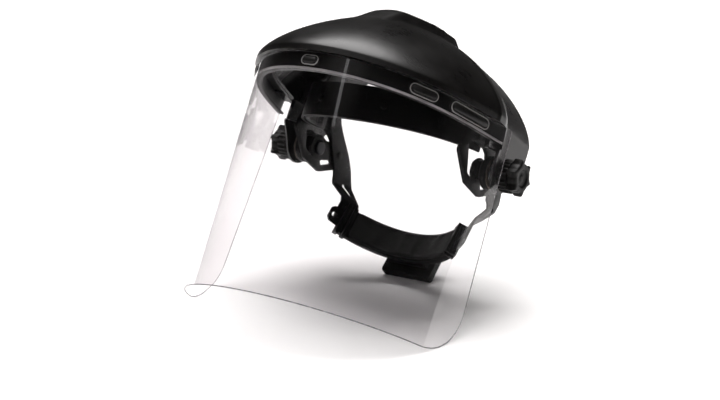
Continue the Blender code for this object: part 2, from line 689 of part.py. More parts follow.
def make_rear_arm(side, label, finish):
    """Slotted strap from the bracket down to the nape sleeve, turning from flat to the nape's arc."""
    inner_x = BRACKET_X - GAP
    flat = Vector((0.0, 0.66, 0.75))
    down = math.radians(51.5)
    tangent = (NAPE_OUT * math.sin(down) - Vector((math.cos(down), 0.0, 0.0))).normalized()
    outward = (NAPE_OUT * math.cos(down) + Vector((math.sin(down), 0.0, 0.0))).normalized()
    lap = nape_point(down, SLEEVE_OUTER + GAP, 0.0)
    stations = [
        (Vector((inner_x, 8.0, 38.0)), 14.0, Vector((0.0, 1.0, 0.25)), 0.0),
        (Vector((inner_x, 12.0, 28.0)), 16.0, Vector((0.0, 0.9, 0.4)), 0.0),
        (Vector((inner_x, 24.0, 14.0)), 20.0, flat, 0.0),
        (Vector((inner_x, 37.0, 2.0)), 24.0, Vector((0.0, 0.75, 0.65)), 0.0),
        (Vector((inner_x - 0.6, 45.0, -9.0)), 26.0, Vector((0.0, 0.85, 0.5)), 0.05),
        (Vector((inner_x - 3.2, 49.0, -20.0)), 24.0, Vector((0.0, 0.95, 0.3)), 0.35),
    ]
    arm = []
    for centre, width, across, turn in stations:
        arm.append((centre, width, across.normalized().lerp(tangent, turn).normalized(),
                    Vector((1.0, 0.0, 0.0)).lerp(outward, turn).normalized()))
    for height, width in ((22.0, 20.0), (13.0, 16.5), (4.0, 16.0), (-3.0, 15.0)):
        arm.append((lap + NAPE_UP * height, width, tangent, outward))
    thick = 2.2
    sections = []
    for number, (centre, width, across, out) in finer(arm, 2):
        shift = -thick * (1 - smooth((number - 4) / 2))
        ring = []
        for a, c in ((-0.5, 0.0), (0.0, 0.0), (0.5, 0.0), (0.5, 1.0), (0.0, 1.0), (-0.5, 1.0)):
            p = centre + across * a * width + out * (c * thick + shift)
            ring.append(Vector((side * p.x, p.y, p.z)))
        sections.append(ring)
    made = new_object(f"rear_arm_{label}", *swept(sections), finish)
    cuts = [post([(2.1, -8.0), (2.1, 8.0)], side_frame(side, y, z), 14) for y, z in ARM_RIVETS]
    slot = stadium(11.0, 4.5)
    lean = math.radians(62.0)
    cuts.append(prism(slot, 55.0, 95.0, lambda a, b, c: Vector((
        side * c, 52.0 - a * math.cos(lean) - b * math.sin(lean),
        -22.0 + a * math.sin(lean) - b * math.cos(lean)))))
    boolean(made, "DIFFERENCE", cuts)
    return made


def make_side_rivets(finish):
    """Rivets that hold the brow band and the rear arms on the brackets."""
    band = [(1.8, -BROW_THICK - 0.8), (1.8, BRACKET_THICK + GAP), (3.6, BRACKET_THICK + GAP),
            (3.0, BRACKET_THICK + 1.4)]
    arm = [(3.6, -4.0), (3.6, -2.2 - 2 * GAP), (1.8, -2.2 - 2 * GAP),
           (1.8, BRACKET_THICK + GAP), (3.6, BRACKET_THICK + GAP), (3.0, BRACKET_THICK + 1.4)]
    for side, label in ((1, "left"), (-1, "right")):
        rivets = [post(band, side_frame(side, y, z), 12) for y, z in BAND_RIVETS]
        rivets += [post(arm, side_frame(side, y, z), 12) for y, z in ARM_RIVETS]
        numbered(f"bracket_rivet_{label}", rivets, finish)


# ---------------------------------------------------------------- top strap

def strap_path(height, x):
    """A point of the strap's inner line over the head, x from the middle."""
    share = 1 - (abs(x) / (BRACKET_X + GAP)) ** STRAP_POWER
    return Vector((x, 0.0, STRAP_LOW_Z + (height - STRAP_LOW_Z) * max(0.0, share) ** (1 / STRAP_POWER)))


def make_top_strap(side, label, layer, finish):
    """Half of the strap over the head, from the bracket past the top to lap the other half."""
    thick = 1.5
    half_width = 9.0
    height = STRAP_TOP_Z + layer * (thick + 1.5 * GAP)
    side_x = BRACKET_X + GAP
    line = [Vector((side_x, 0.0, z)) for z in (41.0, 43.5)]
    line += [strap_path(height, side_x * math.cos(t)) for t in np.linspace(0.0, math.pi / 2, 13)]
    line += [strap_path(height, x) for x in (-5.0, -10.0)]
    sections = []
    for i, p in enumerate(line):
        ahead = line[min(i + 1, len(line) - 1)] - line[max(i - 1, 0)]
        out = Vector((ahead.z, 0.0, -ahead.x)).normalized()
        taper = half_width - (1.5 if i == len(line) - 1 else 0.0)
        ring = [p + Vector((0.0, STRAP_Y + a * taper, 0.0)) + out * c
                for a, c in ((-1, 0.0), (1, 0.0), (1, thick), (-1, thick))]
        sections.append([Vector((side * q.x, q.y, q.z)) for q in ring])
    made = new_object(f"top_strap_{label}", *swept(sections), finish)
    holes = [post([(1.9, 90.0), (1.9, 115.0)], lambda a, b, c: Vector((a + x, STRAP_Y + b, c)), 14)
             for x in STRAP_PINS_X]
    boolean(made, "DIFFERENCE", holes)
    return made


def make_top_strap_pins(finish):
    """Pins through both halves of the top strap."""
    top = STRAP_TOP_Z + 4.0
    profile = [(2.6, STRAP_TOP_Z - 2.0), (3.2, STRAP_TOP_Z - 1.5), (3.2, STRAP_TOP_Z - 0.8),
               (1.6, STRAP_TOP_Z - 0.8), (1.6, top), (3.4, top), (3.4, top + 0.7), (2.6, top + 1.2)]
    numbered("top_strap_pin", [post(profile, lambda a, b, c, x=x: Vector((x + a, STRAP_Y + b, c)), 12)
                               for x in STRAP_PINS_X], finish)


# ---------------------------------------------------------------- nape and ratchet

def nape_sweep(inner, outer, low, high, first, last, count):
    sections = []
    for angle in np.linspace(first, last, count):
        sections.append([nape_point(angle, r, h) for r, h in
                         ((inner, low), (inner, high), (outer, high), (outer, low))])
    return swept(sections)


def make_nape(plastic, foam):
    """The hollow sleeve behind the head and the pad on its inner face."""
    half = SLEEVE_HALF_HEIGHT
    sleeve = new_object("nape_sleeve", *nape_sweep(
        SLEEVE_INNER, SLEEVE_OUTER, -half, half, -SLEEVE_HALF_ANGLE, SLEEVE_HALF_ANGLE, 33), plastic)
    reach = SLEEVE_HALF_ANGLE + 0.05
    hollow = nape_sweep(SLEEVE_INNER + SLEEVE_WALL, SLEEVE_OUTER - SLEEVE_WALL, -RACK_HALF_HEIGHT - 0.8,
                        RACK_HALF_HEIGHT + 0.8, -reach, reach, 33)
    pinion_hole = post([(3.6, 79.5), (3.6, 90.0)], nape_flat, 20)
    boolean(sleeve, "DIFFERENCE", [hollow, pinion_hole])
    reach = SLEEVE_HALF_ANGLE - 0.02
    new_object("nape_pad", *nape_sweep(SLEEVE_INNER - GAP - 3.5, SLEEVE_INNER - GAP, -half, half,
                                       -reach, reach, 29), foam)


def rack_slot(teeth_up):
    """The slot in a rack, toothed along one edge to mesh with the pinion."""
    pitch = math.tau * PINION_PITCH_RADIUS / PINION_TEETH
    reach = 15.0
    tooth = 0.6
    top = PINION_PITCH_RADIUS + 0.45
    count = int(2 * reach / pitch) // 2 * 2
    plain = -(PINION_TIP + 0.5)
    edge = []
    for i in range(-count // 2, count // 2):
        for share, lift in ((0.30, 0.0), (0.42, -tooth), (0.58, -tooth), (0.70, 0.0)):
            edge.append(((i + share) * pitch, top + lift))
    outline = [(-reach - 2.0, plain), (reach + 2.0, plain), (reach + 2.0, top)] + edge[::-1]
    outline.append((-reach - 2.0, top))
    return [(a, b if teeth_up else -b) for a, b in outline]


def make_rack(side, label, layer, finish):
    """Toothed strap bent to the nape's arc; the two racks lie one over the other."""
    inner = SLEEVE_INNER + SLEEVE_WALL + GAP + layer * (RACK_THICK + GAP)
    tip = RACK_TIP_ANGLE
    corner = 3.0 / SLEEVE_OUTER
    sections = []
    for angle in (-tip, -tip + corner, *np.linspace(-tip + 0.1, RACK_TAIL_ANGLE - 0.1, 19),
                  RACK_TAIL_ANGLE - corner, RACK_TAIL_ANGLE):
        end = angle in (-tip, RACK_TAIL_ANGLE)
        high = RACK_HALF_HEIGHT - (3.0 if end else 0.0)
        sections.append([nape_point(side * angle, r, h) for r, h in (
            (inner, -high), (inner, high), (inner + RACK_THICK, high), (inner + RACK_THICK, -high))])
    rack = new_object(f"rack_{label}", *swept(sections), finish)
    tail = side * (RACK_TAIL_ANGLE - 5.5 / SLEEVE_OUTER)
    outward = nape_point(tail, 1.0, 0.0) - nape_point(tail, 0.0, 0.0)
    along = Vector((outward.dot(NAPE_OUT), 0.0, 0.0)) - NAPE_OUT * outward.x
    eyelet = post([(2.4, -9.0), (2.4, 9.0)], lambda a, b, c: nape_point(tail, SLEEVE_INNER + 3.0, a)
                  + along * b + outward * c, 14)
    boolean(rack, "DIFFERENCE", [prism(rack_slot(side > 0), 70.0, 90.0, nape_flat), eyelet])
    return rack


def make_ratchet(black, steel):
    """Housing, click spring, pinion, knob and screw behind the nape sleeve."""
    half = 13.5
    housing = []
    for angle in np.linspace(-0.235, 0.235, 13):
        outer = HOUSING_OUT / math.cos(angle)
        housing.append([nape_point(angle, r, h) for r, h in (
            (SLEEVE_OUTER + GAP, -half), (SLEEVE_OUTER + GAP, half),
            (outer, half - 1.0), (outer, 1.0 - half))])
    block = new_object("ratchet_housing", *swept(housing), black)
    boolean(block, "DIFFERENCE", [post([(3.5, 80.0), (3.5, 95.0)], nape_flat, 20)])
    spring = HOUSING_OUT + GAP
    leaf = [(7.5, spring), (12.0, spring), (12.0, spring + 0.5), (7.5, spring + 0.5)]
    new_object("detent_spring", *turned(leaf, nape_flat, 24), steel)
    knob_in = HOUSING_OUT + GAP
    knob_out = knob_in + RATCHET_KNOB_THICK
    wide = RATCHET_KNOB_WIDTH / 2
    tall = RATCHET_KNOB_HEIGHT / 2

    def block_outline(inset):
        a = wide - inset
        b = tall - inset
        return rounded([(-a, -b, 3), (a, -b, 3), (a, b, 3), (-a, b, 3)], 3)

    layers = ((1.0, knob_in), (0.0, knob_in + 1.0), (0.0, knob_out - 1.4), (1.4, knob_out))
    knob = new_object("ratchet_knob", *swept(
        [[nape_flat(a, b, c) for a, b in block_outline(inset)] for inset, c in layers]), black)
    well = [(6.5, knob_in - 1.0), (13.0, knob_in - 1.0), (13.0, knob_in + 1.3), (6.5, knob_in + 1.3)]
    boolean(knob, "DIFFERENCE", [
        turned(well, nape_flat, 32),
        post([(3.3, knob_in - 1.0), (3.3, knob_in + 5.5)], nape_flat, 20),
        post([(1.9, knob_in + 5.0), (1.9, knob_out - 1.6)], nape_flat, 16),
        post([(4.3, knob_out - 2.6), (4.3, knob_out + 1.0)], nape_flat, 24)])
    root = SLEEVE_INNER + SLEEVE_WALL + GAP
    teeth_end = SLEEVE_OUTER - SLEEVE_WALL - GAP
    toothed = [(r * math.cos(a), r * math.sin(a)) for r, a in pinion_teeth()]
    pinion = new_object("ratchet_pinion", *prism(toothed, root, teeth_end, nape_flat), black)
    boolean(pinion, "UNION", [post([(2.4, teeth_end - 0.4), (3.0, teeth_end + 0.3),
                                    (3.0, knob_in + 5.2)], nape_flat, 20)])
    boolean(pinion, "DIFFERENCE", [post([(1.5, knob_in - 2.0), (1.5, knob_in + 8.0)], nape_flat, 14)])
    screw = [(1.2, knob_in - 1.0), (1.2, knob_out - 2.3), (3.9, knob_out - 2.3), (3.9, knob_out - 1.0),
             (3.0, knob_out - 0.4)]
    new_object("ratchet_screw", *post(screw, nape_flat, 20), steel)


def pinion_teeth():
    """Corners of the pinion as (radius, angle), with a tooth gap facing each rack tooth."""
    root = PINION_TIP - 1.0
    pitch = math.tau / PINION_TEETH
    for i in range(PINION_TEETH):
        for share, radius in ((-0.28, root), (-0.12, PINION_TIP), (0.12, PINION_TIP), (0.28, root)):
            yield radius, math.pi / 2 + (i + share) * pitch


# ---------------------------------------------------------------- standing pose

def world_points(names):
    """Every point of the named objects, in millimetres of the worn frame."""
    found = []
    view = bpy.context.evaluated_depsgraph_get()
    for name in names:
        mesh = bpy.data.objects[name].evaluated_get(view).data
        found += [v.co / MM for v in mesh.vertices]
    return found


def settle():
    """Tips the object back until the window's corners and the ratchet knob both touch the ground."""
    front = [(p.y, p.z) for p in world_points(["window"])]
    back = [(p.y, p.z) for p in world_points(["ratchet_knob"])]

    def lowest(points, tip):
        return min(z * math.cos(tip) - y * math.sin(tip) for y, z in points)

    less, more = math.radians(10.0), math.radians(50.0)
    for _ in range(40):
        tip = (less + more) / 2
        if lowest(back, tip) > lowest(front, tip):
            less = tip
        else:
            more = tip
    everything = world_points([o.name for o in bpy.data.objects if o.type == "MESH" and not o.hide_render])
    depth = [y * math.cos(tip) + z * math.sin(tip) for _, y, z in everything]
    stance = bpy.data.objects.new("stance", None)
    bpy.context.scene.collection.objects.link(stance)
    stance.rotation_euler.x = -tip
    stance.location = (0.0, -(min(depth) + max(depth)) / 2 * MM, -lowest(front, tip) * MM)
    for obj in bpy.data.objects:
        if obj.type == "MESH":
            obj.parent = stance


def main():
    clear_scene()
    clear = material("clear_polycarbonate", (0.95, 0.95, 0.97, 1.0), 0.05, transmission=1.0)
    shell = material("crown_plastic", BLACK, 0.38)
    plastic = material("headband_plastic", BLACK, 0.5)
    knob_black = material("knob_plastic", BLACK, 0.45)
    foam = material("sweatband_foam", (0.02, 0.02, 0.02, 1.0), 0.9)
    steel = material("zinc_steel", STEEL, 0.3, metallic=1.0)
    black_steel = material("black_steel", (0.03, 0.03, 0.03, 1.0), 0.4, metallic=1.0)
    brass = material("brass", (0.62, 0.45, 0.18, 1.0), 0.3, metallic=1.0)
    fibre = material("fibre", (0.08, 0.07, 0.06, 1.0), 0.8)
    make_window(clear)
    make_rail(plastic)
    make_rail_rivets(plastic)
    make_crown(shell)
    make_brow(plastic, foam)
    for side, label, layer in ((1, "left", 0), (-1, "right", 1)):
        make_bracket(side, label, plastic)
        make_hub(side, label, plastic)
        make_pivot_hardware(side, label, black_steel, steel, brass, knob_black, fibre)
        make_rear_arm(side, label, plastic)
        make_top_strap(side, label, layer, plastic)
        make_rack(side, label, layer, plastic)
    make_side_rivets(plastic)
    make_top_strap_pins(plastic)
    make_nape(plastic, foam)
    make_ratchet(knob_black, steel)
    bpy.context.view_layer.update()
    settle()


main()
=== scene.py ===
"""Looks of the face shield: finer surfaces, materials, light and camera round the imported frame."""

import math

import bmesh
import bpy
import numpy as np
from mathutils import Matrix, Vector
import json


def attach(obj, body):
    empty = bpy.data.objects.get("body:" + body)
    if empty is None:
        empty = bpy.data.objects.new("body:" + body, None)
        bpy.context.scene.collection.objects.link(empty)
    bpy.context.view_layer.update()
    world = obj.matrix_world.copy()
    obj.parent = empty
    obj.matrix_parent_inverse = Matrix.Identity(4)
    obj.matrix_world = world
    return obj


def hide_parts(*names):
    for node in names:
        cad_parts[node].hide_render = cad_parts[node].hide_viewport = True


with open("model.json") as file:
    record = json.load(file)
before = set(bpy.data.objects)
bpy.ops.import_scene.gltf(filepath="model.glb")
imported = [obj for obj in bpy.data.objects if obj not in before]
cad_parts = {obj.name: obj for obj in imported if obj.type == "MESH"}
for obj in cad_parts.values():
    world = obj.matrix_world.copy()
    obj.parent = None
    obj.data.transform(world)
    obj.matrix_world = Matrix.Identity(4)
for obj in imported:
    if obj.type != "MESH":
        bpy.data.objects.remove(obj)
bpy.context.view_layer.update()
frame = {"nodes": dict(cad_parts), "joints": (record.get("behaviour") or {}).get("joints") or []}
nodes = frame["nodes"]
joints = {j["name"]: j for j in frame["joints"]}

MM = 0.001
GAP = 0.3
PIVOT = Vector(joints["visor_tilt"]["pos_m"])
OUT = Vector(joints["ratchet_turn"]["axis"]).normalized()
NAPE_LEAN = math.radians(17.0)
TIP = -math.atan2(OUT.z, OUT.y) - NAPE_LEAN
COS = math.cos(TIP)
SIN = math.sin(TIP)


def worn(p):
    """World place of a point given in millimetres in the worn frame."""
    x, y, z = p[0] * MM, p[1] * MM, p[2] * MM
    return PIVOT + Vector((x, y * COS + z * SIN, z * COS - y * SIN))


def smooth(t):
    """Eases from 0 to 1 while t runs from 0 to 1."""
    t = min(1.0, max(0.0, t))
    return t * t * (3 - 2 * t)


# ---------------------------------------------------------------- materials

class Surface:
    """A Principled material and the few node chains that its detail is made of."""

    def __init__(self, name, **values):
        self.material = bpy.data.materials.new(name)
        self.material.use_nodes = True
        self.tree = self.material.node_tree
        self.shader = self.tree.nodes["Principled BSDF"]
        for key, value in values.items():
            self.shader.inputs[key.replace("_", " ")].default_value = value
        self.place = self.add("ShaderNodeTexCoord").outputs["Object"]
        self.height = None

    def add(self, kind, **settings):
        node = self.tree.nodes.new(kind)
        for key, value in settings.items():
            setattr(node, key, value)
        return node

    def link(self, a, b):
        self.tree.links.new(a, b)

    def mapped(self, stretch=(1.0, 1.0, 1.0), turn=(0.0, 0.0, 0.0)):
        node = self.add("ShaderNodeMapping")
        node.inputs["Scale"].default_value = stretch
        node.inputs["Rotation"].default_value = turn
        self.link(self.place, node.inputs["Vector"])
        return node.outputs["Vector"]

    def noise(self, scale, detail=3.0, rough=0.55, stretch=None, turn=(0.0, 0.0, 0.0), warp=0.0):
        node = self.add("ShaderNodeTexNoise")
        node.inputs["Scale"].default_value = scale
        node.inputs["Detail"].default_value = detail
        node.inputs["Roughness"].default_value = rough
        node.inputs["Distortion"].default_value = warp
        self.link(self.mapped(stretch, turn) if stretch else self.place, node.inputs["Vector"])
        return node.outputs["Fac"]

    def wave(self, scale, direction="X", turn=(0.0, 0.0, 0.0), warp=0.0):
        node = self.add("ShaderNodeTexWave", bands_direction=direction)
        node.inputs["Scale"].default_value = scale
        node.inputs["Distortion"].default_value = warp
        self.link(self.mapped((1.0, 1.0, 1.0), turn), node.inputs["Vector"])
        return node.outputs["Fac"]

    def spread(self, value, low, high, start=0.3, end=0.7):
        node = self.add("ShaderNodeMapRange")
        for key, number in (("From Min", start), ("From Max", end), ("To Min", low), ("To Max", high)):
            node.inputs[key].default_value = number
        self.link(value, node.inputs["Value"])
        return node.outputs["Result"]

    def maths(self, operation, a, b):
        node = self.add("ShaderNodeMath", operation=operation)
        for socket, value in zip(node.inputs, (a, b)):
            if isinstance(value, (int, float)):
                socket.default_value = value
            else:
                self.link(value, socket)
        return node.outputs["Value"]

    def colours(self, value, stops):
        node = self.add("ShaderNodeValToRGB")
        ramp = node.color_ramp
        while len(ramp.elements) < len(stops):
            ramp.elements.new(0.5)
        for element, (where, colour) in zip(ramp.elements, stops):
            element.position = where
            element.color = (*colour, 1.0)
        self.link(value, node.inputs["Fac"])
        self.link(node.outputs["Color"], self.shader.inputs["Base Color"])

    def rough(self, value):
        self.link(value, self.shader.inputs["Roughness"])

    def bump(self, value, depth, strength=1.0):
        """Adds a relief of that depth in millimetres on top of any earlier one."""
        node = self.add("ShaderNodeBump")
        node.inputs["Strength"].default_value = strength
        node.inputs["Distance"].default_value = depth * MM
        self.link(value, node.inputs["Height"])
        if self.height is not None:
            self.link(self.height, node.inputs["Normal"])
        self.height = node.outputs["Normal"]
        self.link(self.height, self.shader.inputs["Normal"])


def moulded(name, colour, rough, grain=0.02, scratches=0.08, specular=0.5):
    """Injection-moulded plastic: fine spark-eroded grain, handling marks and faint clouding."""
    s = Surface(name, Specular_IOR_Level=specular)
    cloud = s.noise(38.0, 4.0, 0.6)
    dark = tuple(c * 0.72 for c in colour)
    light = tuple(c * 1.45 + 0.0008 for c in colour)
    s.colours(cloud, ((0.28, dark), (0.5, colour), (0.76, light)))
    marks = s.noise(140.0, 5.0, 0.7, stretch=(1.0, 14.0, 1.4), turn=(0.4, 0.9, 0.3))
    base = s.spread(cloud, rough - 0.05, rough + 0.05)
    s.rough(s.maths("ADD", base, s.spread(marks, -scratches, scratches, 0.35, 0.68)))
    s.bump(s.noise(2600.0, 2.0, 0.6), grain)
    s.bump(s.noise(45.0, 2.0, 0.5), 0.10)
    return s.material


def clear_sheet():
    """Clear polycarbonate with a faint cool tint, slow ripples and fine wiping marks."""
    s = Surface("clear_polycarbonate_sheet", Transmission_Weight=1.0, IOR=1.5)
    haze = s.noise(9.0, 3.0, 0.5)
    s.colours(haze, ((0.3, (0.885, 0.868, 0.878)), (0.7, (0.915, 0.90, 0.908))))
    wipes = s.noise(30.0, 6.0, 0.75, stretch=(1.0, 1.0, 7.0), turn=(0.5, 0.2, 0.6))
    s.rough(s.spread(wipes, 0.015, 0.07, 0.45, 0.75))
    s.bump(s.noise(7.0, 2.0, 0.5), 0.25)
    let_light_through(s, 0.92)
    return s.material


def let_light_through(s, share):
    """Mixes in a transparent shader for shadow rays, so that the clear sheet casts a faint shadow."""
    end = s.tree.nodes["Material Output"]
    path = s.add("ShaderNodeLightPath")
    clear = s.add("ShaderNodeBsdfTransparent")
    mix = s.add("ShaderNodeMixShader")
    s.link(s.maths("MULTIPLY", path.outputs["Is Shadow Ray"], share), mix.inputs["Fac"])
    s.link(s.shader.outputs["BSDF"], mix.inputs[1])
    s.link(clear.outputs["BSDF"], mix.inputs[2])
    s.link(mix.outputs["Shader"], end.inputs["Surface"])


def sheared_edge(name, colour, rough, transmission):
    """The frosted edge that a cutter leaves on clear sheet; on the slot rims its pale grey is also a painted
    highlight.
    """
    s = Surface(name, Transmission_Weight=transmission, IOR=1.5)
    tears = s.noise(420.0, 4.0, 0.7)
    s.colours(tears, ((0.3, tuple(c * 0.75 for c in colour)), (0.7, colour)))
    s.rough(s.spread(tears, rough - 0.08, rough + 0.15))
    s.bump(tears, 0.05)
    let_light_through(s, 0.7)
    return s.material


def knitted(name, colour):
    """Close-knitted sweatband cloth over foam: rows of small loops, lint and worn sheen."""
    s = Surface(name, Sheen_Weight=0.12, Sheen_Roughness=0.5, Specular_IOR_Level=0.25)
    across = s.wave(270.0, "X", warp=0.6)
    upright = s.wave(330.0, "Z", turn=(0.35, 0.0, 0.0), warp=0.6)
    loops = s.maths("MULTIPLY", across, upright)
    fuzz = s.noise(900.0, 4.0, 0.7)
    worn_areas = s.noise(55.0, 3.0, 0.6)
    mixed = s.maths("ADD", s.maths("MULTIPLY", loops, 0.55), s.maths("MULTIPLY", worn_areas, 0.45))
    s.colours(mixed, ((0.12, tuple(c * 0.45 for c in colour)), (0.45, colour),
                      (0.85, tuple(c * 2.1 + 0.002 for c in colour))))
    s.rough(s.spread(fuzz, 0.78, 0.96))
    s.bump(loops, 0.35)
    s.bump(fuzz, 0.12)
    return s.material


def metal(name, colour, rough, brushed=(1.0, 1.0, 1.0)):
    """Plated or turned metal: fine tool marks, a little tarnish."""
    s = Surface(name, Metallic=1.0)
    tarnish = s.noise(120.0, 4.0, 0.6)
    s.colours(tarnish, ((0.3, tuple(c * 0.7 for c in colour)), (0.7, colour)))
    lines = s.noise(900.0, 2.0, 0.6, stretch=brushed)
    s.rough(s.maths("ADD", s.spread(tarnish, rough - 0.05, rough + 0.12), s.spread(lines, -0.04, 0.06)))
    s.bump(lines, 0.01)
    return s.material


def pressed_fibre():
    s = Surface("pressed_fibre_grain", Specular_IOR_Level=0.2)
    strands = s.noise(700.0, 5.0, 0.75, stretch=(1.0, 0.4, 2.5), warp=0.8)
    s.colours(strands, ((0.25, (0.03, 0.022, 0.018)), (0.6, (0.085, 0.07, 0.058)), (0.8, (0.16, 0.13, 0.1))))
    s.rough(s.spread(strands, 0.7, 0.95))
    s.bump(strands, 0.08)
    return s.material


def pale_floor():
    s = Surface("studio_floor", Specular_IOR_Level=0.25)
    patches = s.noise(3.0, 3.0, 0.5)
    s.colours(patches, ((0.3, (0.93, 0.925, 0.92)), (0.7, (0.95, 0.945, 0.945))))
    s.rough(s.spread(patches, 0.42, 0.55))
    return s.material


CROWN = moulded("crown_satin_black", (0.0022, 0.0019, 0.0018), 0.31, 0.012, 0.022, 0.36)
RAIL = moulded("rail_satin_black", (0.0045, 0.0042, 0.004), 0.36, 0.015, 0.06, 0.3)
BAND = moulded("headband_matt_black", (0.0026, 0.0024, 0.0022), 0.46, 0.02, 0.08, 0.14)
KNOB = moulded("knob_matt_black", (0.0024, 0.0022, 0.002), 0.42, 0.03, 0.08, 0.15)
CLOTH = knitted("sweatband_knit_black", (0.0045, 0.0042, 0.0038))
THREAD = knitted("stitching_thread_black", (0.007, 0.0066, 0.006))
STEEL = metal("zinc_plated_steel", (0.56, 0.57, 0.6), 0.3)
BRASS = metal("turned_brass", (0.62, 0.43, 0.17), 0.28, (6.0, 1.0, 1.0))
FIBRE = pressed_fibre()
CLEAR = clear_sheet()
CUT_EDGE = sheared_edge("sheared_sheet_edge", (0.30, 0.285, 0.295), 0.2, 0.5)
# Pale grey of the slot rims: frosted cut edge, and a painted highlight of light caught by the slot edges.
SLOT_EDGE_HIGHLIGHT = sheared_edge("slot_edge_painted_highlight", (0.32, 0.31, 0.31), 0.35, 0.25)
# Pale grey on the black rail's rounded lower front edge: a painted reflection of the bright floor on that
# edge.
BEAD_PAINTED_REFLECTION = moulded("rail_bead_painted_reflection", (0.42, 0.41, 0.41), 0.32, 0.01, 0.06, 0.5)
BLACK_STEEL = metal("black_oxide_steel", (0.03, 0.03, 0.032), 0.36)

LOOKS = (("crown_", CROWN), ("window_rail", RAIL), ("window", CLEAR), ("rail_rivet", BAND),
         ("brow_pad", CLOTH), ("nape_pad", CLOTH), ("tension_knob", KNOB), ("ratchet_knob", KNOB),
         ("ratchet_pinion", KNOB), ("ratchet_housing", KNOB), ("knob_insert", BRASS),
         ("pivot_bolt", BLACK_STEEL), ("spring_washer", STEEL), ("detent_spring", STEEL),
         ("ratchet_screw", STEEL), ("bracket_rivet", BAND), ("friction_washer", FIBRE), ("", BAND))


# ---------------------------------------------------------------- edges of the carried-over nodes

def crisp_group(angle):
    """Geometry nodes that shade smooth, with edges sharper than angle kept hard."""
    name = f"crisp_{round(math.degrees(angle))}"
    if name in bpy.data.node_groups:
        return bpy.data.node_groups[name]
    group = bpy.data.node_groups.new(name, "GeometryNodeTree")
    group.interface.new_socket("Geometry", in_out="INPUT", socket_type="NodeSocketGeometry")
    group.interface.new_socket("Geometry", in_out="OUTPUT", socket_type="NodeSocketGeometry")
    start = group.nodes.new("NodeGroupInput")
    end = group.nodes.new("NodeGroupOutput")
    faces = group.nodes.new("GeometryNodeSetShadeSmooth")
    edges = group.nodes.new("GeometryNodeSetShadeSmooth")
    edges.domain = "EDGE"
    edges.inputs["Shade Smooth"].default_value = False
    measured = group.nodes.new("GeometryNodeInputMeshEdgeAngle")
    sharp = group.nodes.new("FunctionNodeCompare")
    sharp.data_type = "FLOAT"
    sharp.operation = "GREATER_THAN"
    sharp.inputs["B"].default_value = angle
    group.links.new(start.outputs[0], faces.inputs["Geometry"])
    group.links.new(measured.outputs["Unsigned Angle"], sharp.inputs["A"])
    group.links.new(sharp.outputs["Result"], edges.inputs["Selection"])
    group.links.new(faces.outputs["Geometry"], edges.inputs["Geometry"])
    group.links.new(edges.outputs["Geometry"], end.inputs[0])
    return group


def soften(obj, width=0.25, angle=32.0, segments=2):
    """Rounds an object's hard edges a little and shades the rest smooth."""
    weld = obj.modifiers.new("weld", "WELD")
    weld.merge_threshold = 1e-6
    if width:
        bevel = obj.modifiers.new("edge_radius", "BEVEL")
        bevel.width = width * MM
        bevel.segments = segments
        bevel.limit_method = "ANGLE"
        bevel.angle_limit = math.radians(angle)
        bevel.miter_outer = "MITER_ARC"
        bevel.use_clamp_overlap = True
    crisp = obj.modifiers.new("crisp", "NODES")
    crisp.node_group = crisp_group(math.radians(angle + 3.0))


WIDTHS = {"window_rail": 0.5, "pivot_bracket": 0.45, "pivot_hub": 0.4, "rear_arm": 0.5, "brow_band": 0.45,
          "nape_sleeve": 0.45, "ratchet_housing": 0.5, "top_strap": 0.35, "rack": 0.2, "crown_": 0.0,
          "rail_rivet": 0.15, "bracket_rivet": 0.15, "pad_stud": 0.2}

for name, node in nodes.items():
    look = next(m for key, m in LOOKS if name.startswith(key))
    node.data.materials.clear()
    node.data.materials.append(look)
    soften(node, next((w for key, w in WIDTHS.items() if name.startswith(key)), 0.2))


# ---------------------------------------------------------------- making pieces

def mesh_object(name, points, faces):
    """An object whose faces are turned to point out."""
    mesh = bpy.data.meshes.new(name)
    mesh.from_pydata([tuple(p) for p in points], [], faces)
    shape = bmesh.new()
    shape.from_mesh(mesh)
    bmesh.ops.recalc_face_normals(shape, faces=shape.faces)
    shape.to_mesh(mesh)
    shape.free()
    obj = bpy.data.objects.new(name, mesh)
    bpy.context.scene.collection.objects.link(obj)
    return obj


def piece(name, points, faces, material, body, slot, stands_for=()):
    """A visible piece that rides on a body, and may stand for nodes of the frame."""
    obj = mesh_object(name, points, faces)
    obj.data.materials.append(material)
    obj.data.shade_smooth()
    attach(obj, body)
    if stands_for:
        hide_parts(*stands_for)
    return obj


def cut(obj, operation, name, points, faces):
    """A Boolean with a hidden cutter, given as (points, faces) in the worn frame."""
    tool = mesh_object(name, [worn(p) for p in points], faces)
    tool.hide_render = True
    tool.hide_viewport = True
    change = obj.modifiers.new(name, "BOOLEAN")
    change.operation = operation
    change.solver = "EXACT"
    change.object = tool


def settle_modifiers(obj):
    """Applies an object's modifiers to its mesh and removes the cutters they used."""
    view = bpy.context.evaluated_depsgraph_get()
    tools = [m.object for m in obj.modifiers if m.type == "BOOLEAN"]
    for tool in tools:
        tool.hide_viewport = False
    view.update()
    mesh = bpy.data.meshes.new_from_object(obj.evaluated_get(view))
    obj.modifiers.clear()
    obj.data = mesh
    for tool in tools:
        bpy.data.objects.remove(tool)


def swept(sections):
    """Points and faces of a closed solid through rings of equal length."""
    count = len(sections[0])
    points = [Vector(p) for ring in sections for p in ring]
    faces = [tuple(range(count)), tuple(len(points) - 1 - i for i in range(count))]
    for row in range(len(sections) - 1):
        for i in range(count):
            j = (i + 1) % count
            low = row * count
            faces.append((low + i, low + j, low + count + j, low + count + i))
    return points, faces


def prism(outline, low, high, place):
    """A straight solid on an outline, from one height to another."""
    return swept([[place(a, b, c) for a, b in outline] for c in (low, high)])


def post(profile, place, count=32):
    """A round solid through (radius, height) pairs."""
    return swept([[place(r * math.cos(math.tau * i / count), r * math.sin(math.tau * i / count), h)
                   for i in range(count)] for r, h in profile])


